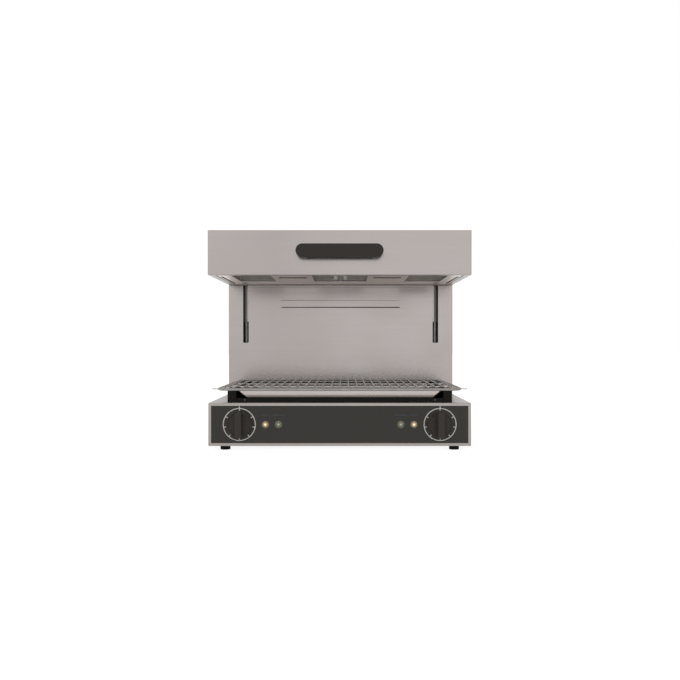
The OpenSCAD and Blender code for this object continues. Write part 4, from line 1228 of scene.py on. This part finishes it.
rack_low, rack_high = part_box("wire_rack")
rack_half = rack_high.x - RACK_PIN_OUT - RACK_ROD / 2
rod_front = rack_low.y + RACK_ROD / 2
rod_back = rack_high.y - RACK_ROD / 2
wire_level = rack_high.z - WIRE / 2
rod_level = rack_high.z - WIRE_PROUD - RACK_ROD / 2
bend_x = rack_half - RACK_CORNER
bend_front = rod_front + RACK_CORNER
bend_back = rod_back - RACK_CORNER
corners = [(bend_x, bend_back), (-bend_x, bend_back), (-bend_x, bend_front), (bend_x, bend_front)]
outline = []
for quarter, (x, y) in enumerate(corners):
    outline += arc((x, y, rod_level), RACK_CORNER, 90 * quarter, 90 * quarter + 90)
rack_parts = [tube_along("rack_frame", outline, RACK_ROD, closed=True)]
# The frame rod gets the darker chrome copy: painted shade.
rack_parts[0].data.materials.append(SHADED_ROD_CHROME)
print("rack frame:", len(rack_parts[0].data.polygons), "faces")


# %% Rack wires, stiffeners and pin
def corner_drop(across):
    """How far a wire falls short of the straight rods where the frame's corner curves."""
    into = max(0, abs(across) - bend_x)
    return RACK_CORNER - math.sqrt(RACK_CORNER**2 - into**2)


wires_each_side = int((rack_half - RACK_ROD / 2 - WIRE) / WIRE_PITCH)
for number in range(-wires_each_side, wires_each_side + 1):
    x = number * WIRE_PITCH
    front, back = rod_front + corner_drop(x), rod_back - corner_drop(x)
    ends = (x, front, wire_level), (x, back, wire_level)
    rack_parts.append(wire("rack_wire", *ends, WIRE, sides=12))
level = wire_level - WIRE / 2 - STIFFENER / 2 + WELD
for share in (1 / 3, 2 / 3):
    y = rod_front + share * (rod_back - rod_front)
    rack_parts.append(rod("stiffener", (-rack_half, y, level), (rack_half, y, level), STIFFENER))
level = wire_level - WIRE + WELD
ends = (rack_low.x, bend_front, level), (rack_high.x, bend_front, level)
rack_parts.append(wire("stop_pin", *ends, STOP_PIN))
for part in rack_parts[1:]:
    part.data.materials.append(FINISHES["chrome"])
finish_piece(join("grill_rack", rack_parts), "wire_rack", "chrome", "wire_rack")


# %% [markdown]
# ## Knobs, lamps and feet
#
# A heat knob has a round skirt, a little recessed on its face, with a raised bar across it to
# turn it by. The bar is a block that narrows to the front. It is cut round to the skirt's
# diameter and joined to the skirt, and the joint and all edges get a small radius. The rim's
# points are given in from the skirt's edge and down from its face.

# %% Knobs
KNOB_SKIRT = 7 * MM
KNOB_CHAMFER = 0.8 * MM
KNOB_RIM = [(0, 2.4), (0.7, 0.8), (2.2, 0), (3.4, 0.2), (4.6, 1.2)]
KNOB_RECESS = 1.6 * MM
KNOB_EDGE = 0.5 * MM
GRIP_WIDTH = 18 * MM
GRIP_SUNK = 3 * MM
GRIP_TAPER = (0.8, 1, 0.96)
GRIP_EDGE = 2 * MM
GRIP_INSET = 0.75 * MM

for side in ("left", "right"):
    low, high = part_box(side + "_knob")
    centre = (low + high) / 2
    radius = (high.x - low.x) / 2
    grip_back = high.y - GRIP_SUNK
    outline = [(0, 0), (radius - KNOB_CHAMFER, 0), (radius, KNOB_CHAMFER)]
    outline += [(radius - inwards * MM, KNOB_SKIRT - down * MM) for inwards, down in KNOB_RIM]
    outline.append((0, KNOB_SKIRT - KNOB_RECESS))
    skirt = turned(side + "_heat_knob", (centre.x, high.y, centre.z), outline)
    grip = block(
        "grip",
        (centre.x - GRIP_WIDTH / 2, low.y, low.z),
        (centre.x + GRIP_WIDTH / 2, grip_back, high.z),
    )
    shape_faces(grip, facing("y", -1), bpy.ops.transform.resize, value=GRIP_TAPER)
    bend_edges(grip, GRIP_EDGE, lambda middle, along: not near(middle.y, grip_back))
    ends = (centre.x, low.y - THROUGH, centre.z), (centre.x, high.y + THROUGH, centre.z)
    rounder = rod("rounder", *ends, 2 * (radius - GRIP_INSET), sides=96)
    combine(grip, rounder, "INTERSECT")
    combine(skirt, grip, "UNION")
    soften(skirt, KNOB_EDGE, segments=3, angle=40)
    finish_piece(skirt, side + "_knob", "black_plastic", side + "_knob", angle=30)


# %% [markdown]
# Each pilot lamp has a moulded body with a bevelled bezel in front and a round barrel behind
# the panel, and a domed lens with a few fine rings that spread its light. One body and one
# lens are turned, and the others are copies moved into place.

# %% One pilot lamp
LAMP_GAP = 30 * MM
BEZEL = 17.5 * MM
BEZEL_THICK = 2.2 * MM
BARREL = 14 * MM
BARREL_CHAMFER = 1 * MM
CUP_DEEP = 5 * MM
LENS = 12 * MM
LENS_DEEP = 4 * MM
LENS_DOME = 1.6 * MM
LENS_RING = 0.18 * MM
LENS_STEP = 10
LENS_STEPS = 9

lamp_low, lamp_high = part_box("right_lamp_bodies")
lens_low, lens_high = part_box("amber_lenses")
lamp_x = lens_high.x - LENS / 2
lamp_back = Vector((lamp_x, lamp_low.y + BEZEL_THICK, (lens_low.z + lens_high.z) / 2))
barrel_end = lamp_low.y + BEZEL_THICK - lamp_high.y
lamp_outline = [
    (BARREL / 2 - BARREL_CHAMFER, barrel_end),
    (BARREL / 2, barrel_end + BARREL_CHAMFER),
    (BARREL / 2, 0),
    (BEZEL / 2, 0),
    (BEZEL / 2, BEZEL_THICK * 0.35),
    (BEZEL / 2 - 0.5 * MM, BEZEL_THICK * 0.75),
    (BEZEL / 2 - 1.3 * MM, BEZEL_THICK),
    (LENS / 2 + 0.5 * MM, BEZEL_THICK),
    (LENS / 2 + 0.1 * MM, BEZEL_THICK * 0.8),
    (LENS / 2 + 0.05 * MM, -CUP_DEEP),
    (0, -CUP_DEEP),
]
lamp = turned("lamp", lamp_back, lamp_outline)
dome_foot = BEZEL_THICK * 0.6
lens_outline = [(0, -LENS_DEEP), (LENS / 2, -LENS_DEEP)]
for number in range(LENS_STEPS):
    turn = math.radians(number * LENS_STEP)
    ring = LENS_RING if number % 2 else 0
    rise = dome_foot + LENS_DOME * math.sin(turn) + ring
    lens_outline.append((LENS / 2 * math.cos(turn), rise))
lens_outline.append((0, dome_foot + LENS_DOME))
lens = turned("lens", lamp_back, lens_outline, steps=40)
print("one lamp has", len(lamp.data.polygons), "faces, its lens", len(lens.data.polygons))


# %% All pilot lamps
def copy_piece(obj, name, shift):
    """Copies an object with its own mesh, and moves the mesh."""
    choose(obj)
    bpy.ops.object.duplicate()
    bpy.context.object.location = shift
    return settle(name)


bodies_of = {"left": [], "right": []}
lenses_of = {"amber": [], "green": []}
for side, sign in (("left", -1), ("right", 1)):
    for colour, across in (("amber", lamp_x), ("green", lamp_x - LAMP_GAP)):
        shift = (sign * across - lamp_x, 0, 0)
        bodies_of[side].append(copy_piece(lamp, "lamp_copy", shift))
        lenses_of[colour].append(copy_piece(lens, "lens_copy", shift))
bpy.data.objects.remove(lamp)
bpy.data.objects.remove(lens)
for side, parts in bodies_of.items():
    bodies = join(side + "_pilot_lamps", parts)
    finish_piece(bodies, "cabinet", "lamp_body", side + "_lamp_bodies")
for colour, parts in lenses_of.items():
    lenses = join(colour + "_lamp_lenses", parts)
    finish_piece(lenses, "cabinet", colour + "_lens", colour + "_lenses")


# %% [markdown]
# The feet are turned from rubber, slightly tapered, with a chamfer at the floor and a recess
# for the screw.

# %% Feet
FOOT = 23 * MM
FOOT_RECESS = 12 * MM
FOOT_RECESS_DEEP = 4.5 * MM
FOOT_LIP = 0.4 * MM
FOOT_HOLE = 6.6 * MM

feet_low, feet_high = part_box("feet")
foot_outline = [
    (FOOT_RECESS / 2, FOOT_RECESS_DEEP),
    (FOOT_RECESS / 2, FOOT_LIP),
    (FOOT_RECESS / 2 + FOOT_LIP, 0),
    (FOOT / 2 - 0.35 * MM, 0),
    (FOOT / 2 - 0.15 * MM, 0.3 * MM),
    (FOOT / 2 - 0.1 * MM, 2 * MM),
    (FOOT / 2, feet_high.z - 1 * MM),
    (FOOT / 2 - 0.3 * MM, feet_high.z),
    (FOOT_HOLE / 2, feet_high.z),
    (FOOT_HOLE / 2, FOOT_RECESS_DEEP),
    (FOOT_RECESS / 2, FOOT_RECESS_DEEP),
]
feet = []
for x in (feet_low.x + FOOT / 2, feet_high.x - FOOT / 2):
    for y in (feet_low.y + FOOT / 2, feet_high.y - FOOT / 2):
        feet.append(turned("foot", (x, y, feet_low.z), foot_outline, along=UPWARDS, steps=48))
finish_piece(join("rubber_feet", feet), "cabinet", "rubber", "feet")


# %% [markdown]
# ## The back
#
# A flat cover closes the column and the base from behind. Two groups of eight slots at each
# side let warm air out. The slots are cut one by one, and their edges softened.

# %% Rear cover
VENT_ACROSS = 70 * MM
VENT_HEIGHT = 4 * MM
VENT_ROUND = 0.99
VENT_X = 100 * MM
VENT_COUNT = 8
VENT_LOW = 40 * MM
VENT_HIGH = 110 * MM
COVER_BURR = 0.3 * MM

cover_low, cover_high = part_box("rear_cover")
cover = block("back_cover", cover_low, cover_high)
vents = []
for group in (base_high.z + VENT_LOW, column_high.z - VENT_HIGH):
    for row in range(VENT_COUNT):
        for x in (-VENT_X, VENT_X):
            bottom = group + row * 2 * VENT_HEIGHT
            vent = block(
                "vent",
                (x - VENT_ACROSS / 2, cover_low.y - MM, bottom),
                (x + VENT_ACROSS / 2, cover_high.y + MM, bottom + VENT_HEIGHT),
            )
            bend_edges(vent, VENT_HEIGHT / 2 * VENT_ROUND, running("y"))
            vents.append(vent)
combine(cover, join("vents", vents))
soften(cover, COVER_BURR, angle=50)
finish_piece(cover, "cabinet", "stainless", "rear_cover")


# %% [markdown]
# ## The studio
#
# The object stands on a plain pale floor. For the camera, and in reflections, the floor and
# the backdrop are nearly white of their own, while they send only plain light to the object.
# The floor is partly lit by the lamps, so it keeps the soft shadow under the grill.

# %% Light Path: which rays see the white studio
def seen_directly(tree):
    """1 for camera, glossy and transmission rays, and 0 for the others."""
    path = add_node(tree, "LightPath").outputs
    total = path["Is Camera Ray"]
    for kind in ("Is Glossy Ray", "Is Transmission Ray"):
        total = add_node(tree, "Math", {0: total, 1: path[kind]}, operation="MAXIMUM").outputs[0]
    return total


def between(tree, factor, low, high):
    """A number that goes from low to high with the factor."""
    feeds = {"Value": factor, "To Min": low, "To Max": high}
    return add_node(tree, "MapRange", feeds).outputs["Result"]


print("light path helpers are ready")

# %% Floor
FLOOR_HALF = 14
FLOOR_GLOW = 0.79
bpy.ops.object.select_all(action="DESELECT")
bpy.ops.mesh.primitive_plane_add(size=2 * FLOOR_HALF, location=(0, 0, 0))
floor = bpy.context.object
floor.name = "studio_floor"
material, tree, shader = new_finish("pale_floor", (0.5, 0.495, 0.49), roughness=0.9, specular=0)
glow = between(tree, seen_directly(tree), 0, FLOOR_GLOW)
feed(tree, shader, {"Emission Color": (1, 1, 1, 1), "Emission Strength": glow})
floor.data.materials.append(material)
print("floor:", 2 * FLOOR_HALF, "m wide")

# %% Backdrop light
AMBIENT = 0.7
world = bpy.data.worlds.new("studio_light")
world.use_nodes = True
bpy.context.scene.world = world
tree = world.node_tree
level = between(tree, seen_directly(tree), AMBIENT, 1)
feed(tree, tree.nodes["Background"], {"Color": (1, 1, 1, 1), "Strength": level})
print("ambient level:", AMBIENT)

# %% [markdown]
# Two large area lamps stand in for softboxes, one high at the right in front and a weaker one
# at the left. They are broad, so that shadows stay soft.

# %% Lamps
GRILL_MIDDLE = Vector((0, 0, 0.25))


def softbox(name, place, width, power):
    """A square area lamp that looks at the grill's middle."""
    place = Vector(place)
    bpy.ops.object.select_all(action="DESELECT")
    bpy.ops.object.light_add(type="AREA", location=place)
    lamp = bpy.context.object
    lamp.name = name
    lamp.data.size = width
    lamp.data.energy = power
    lamp.rotation_euler = (GRILL_MIDDLE - place).to_track_quat("-Z", "Y").to_euler()


softbox("key_softbox", place=(1.0, -4.6, 1.2), width=3.0, power=12)
softbox("fill_softbox", place=(-1.8, -4.2, 1.3), width=2.6, power=8)
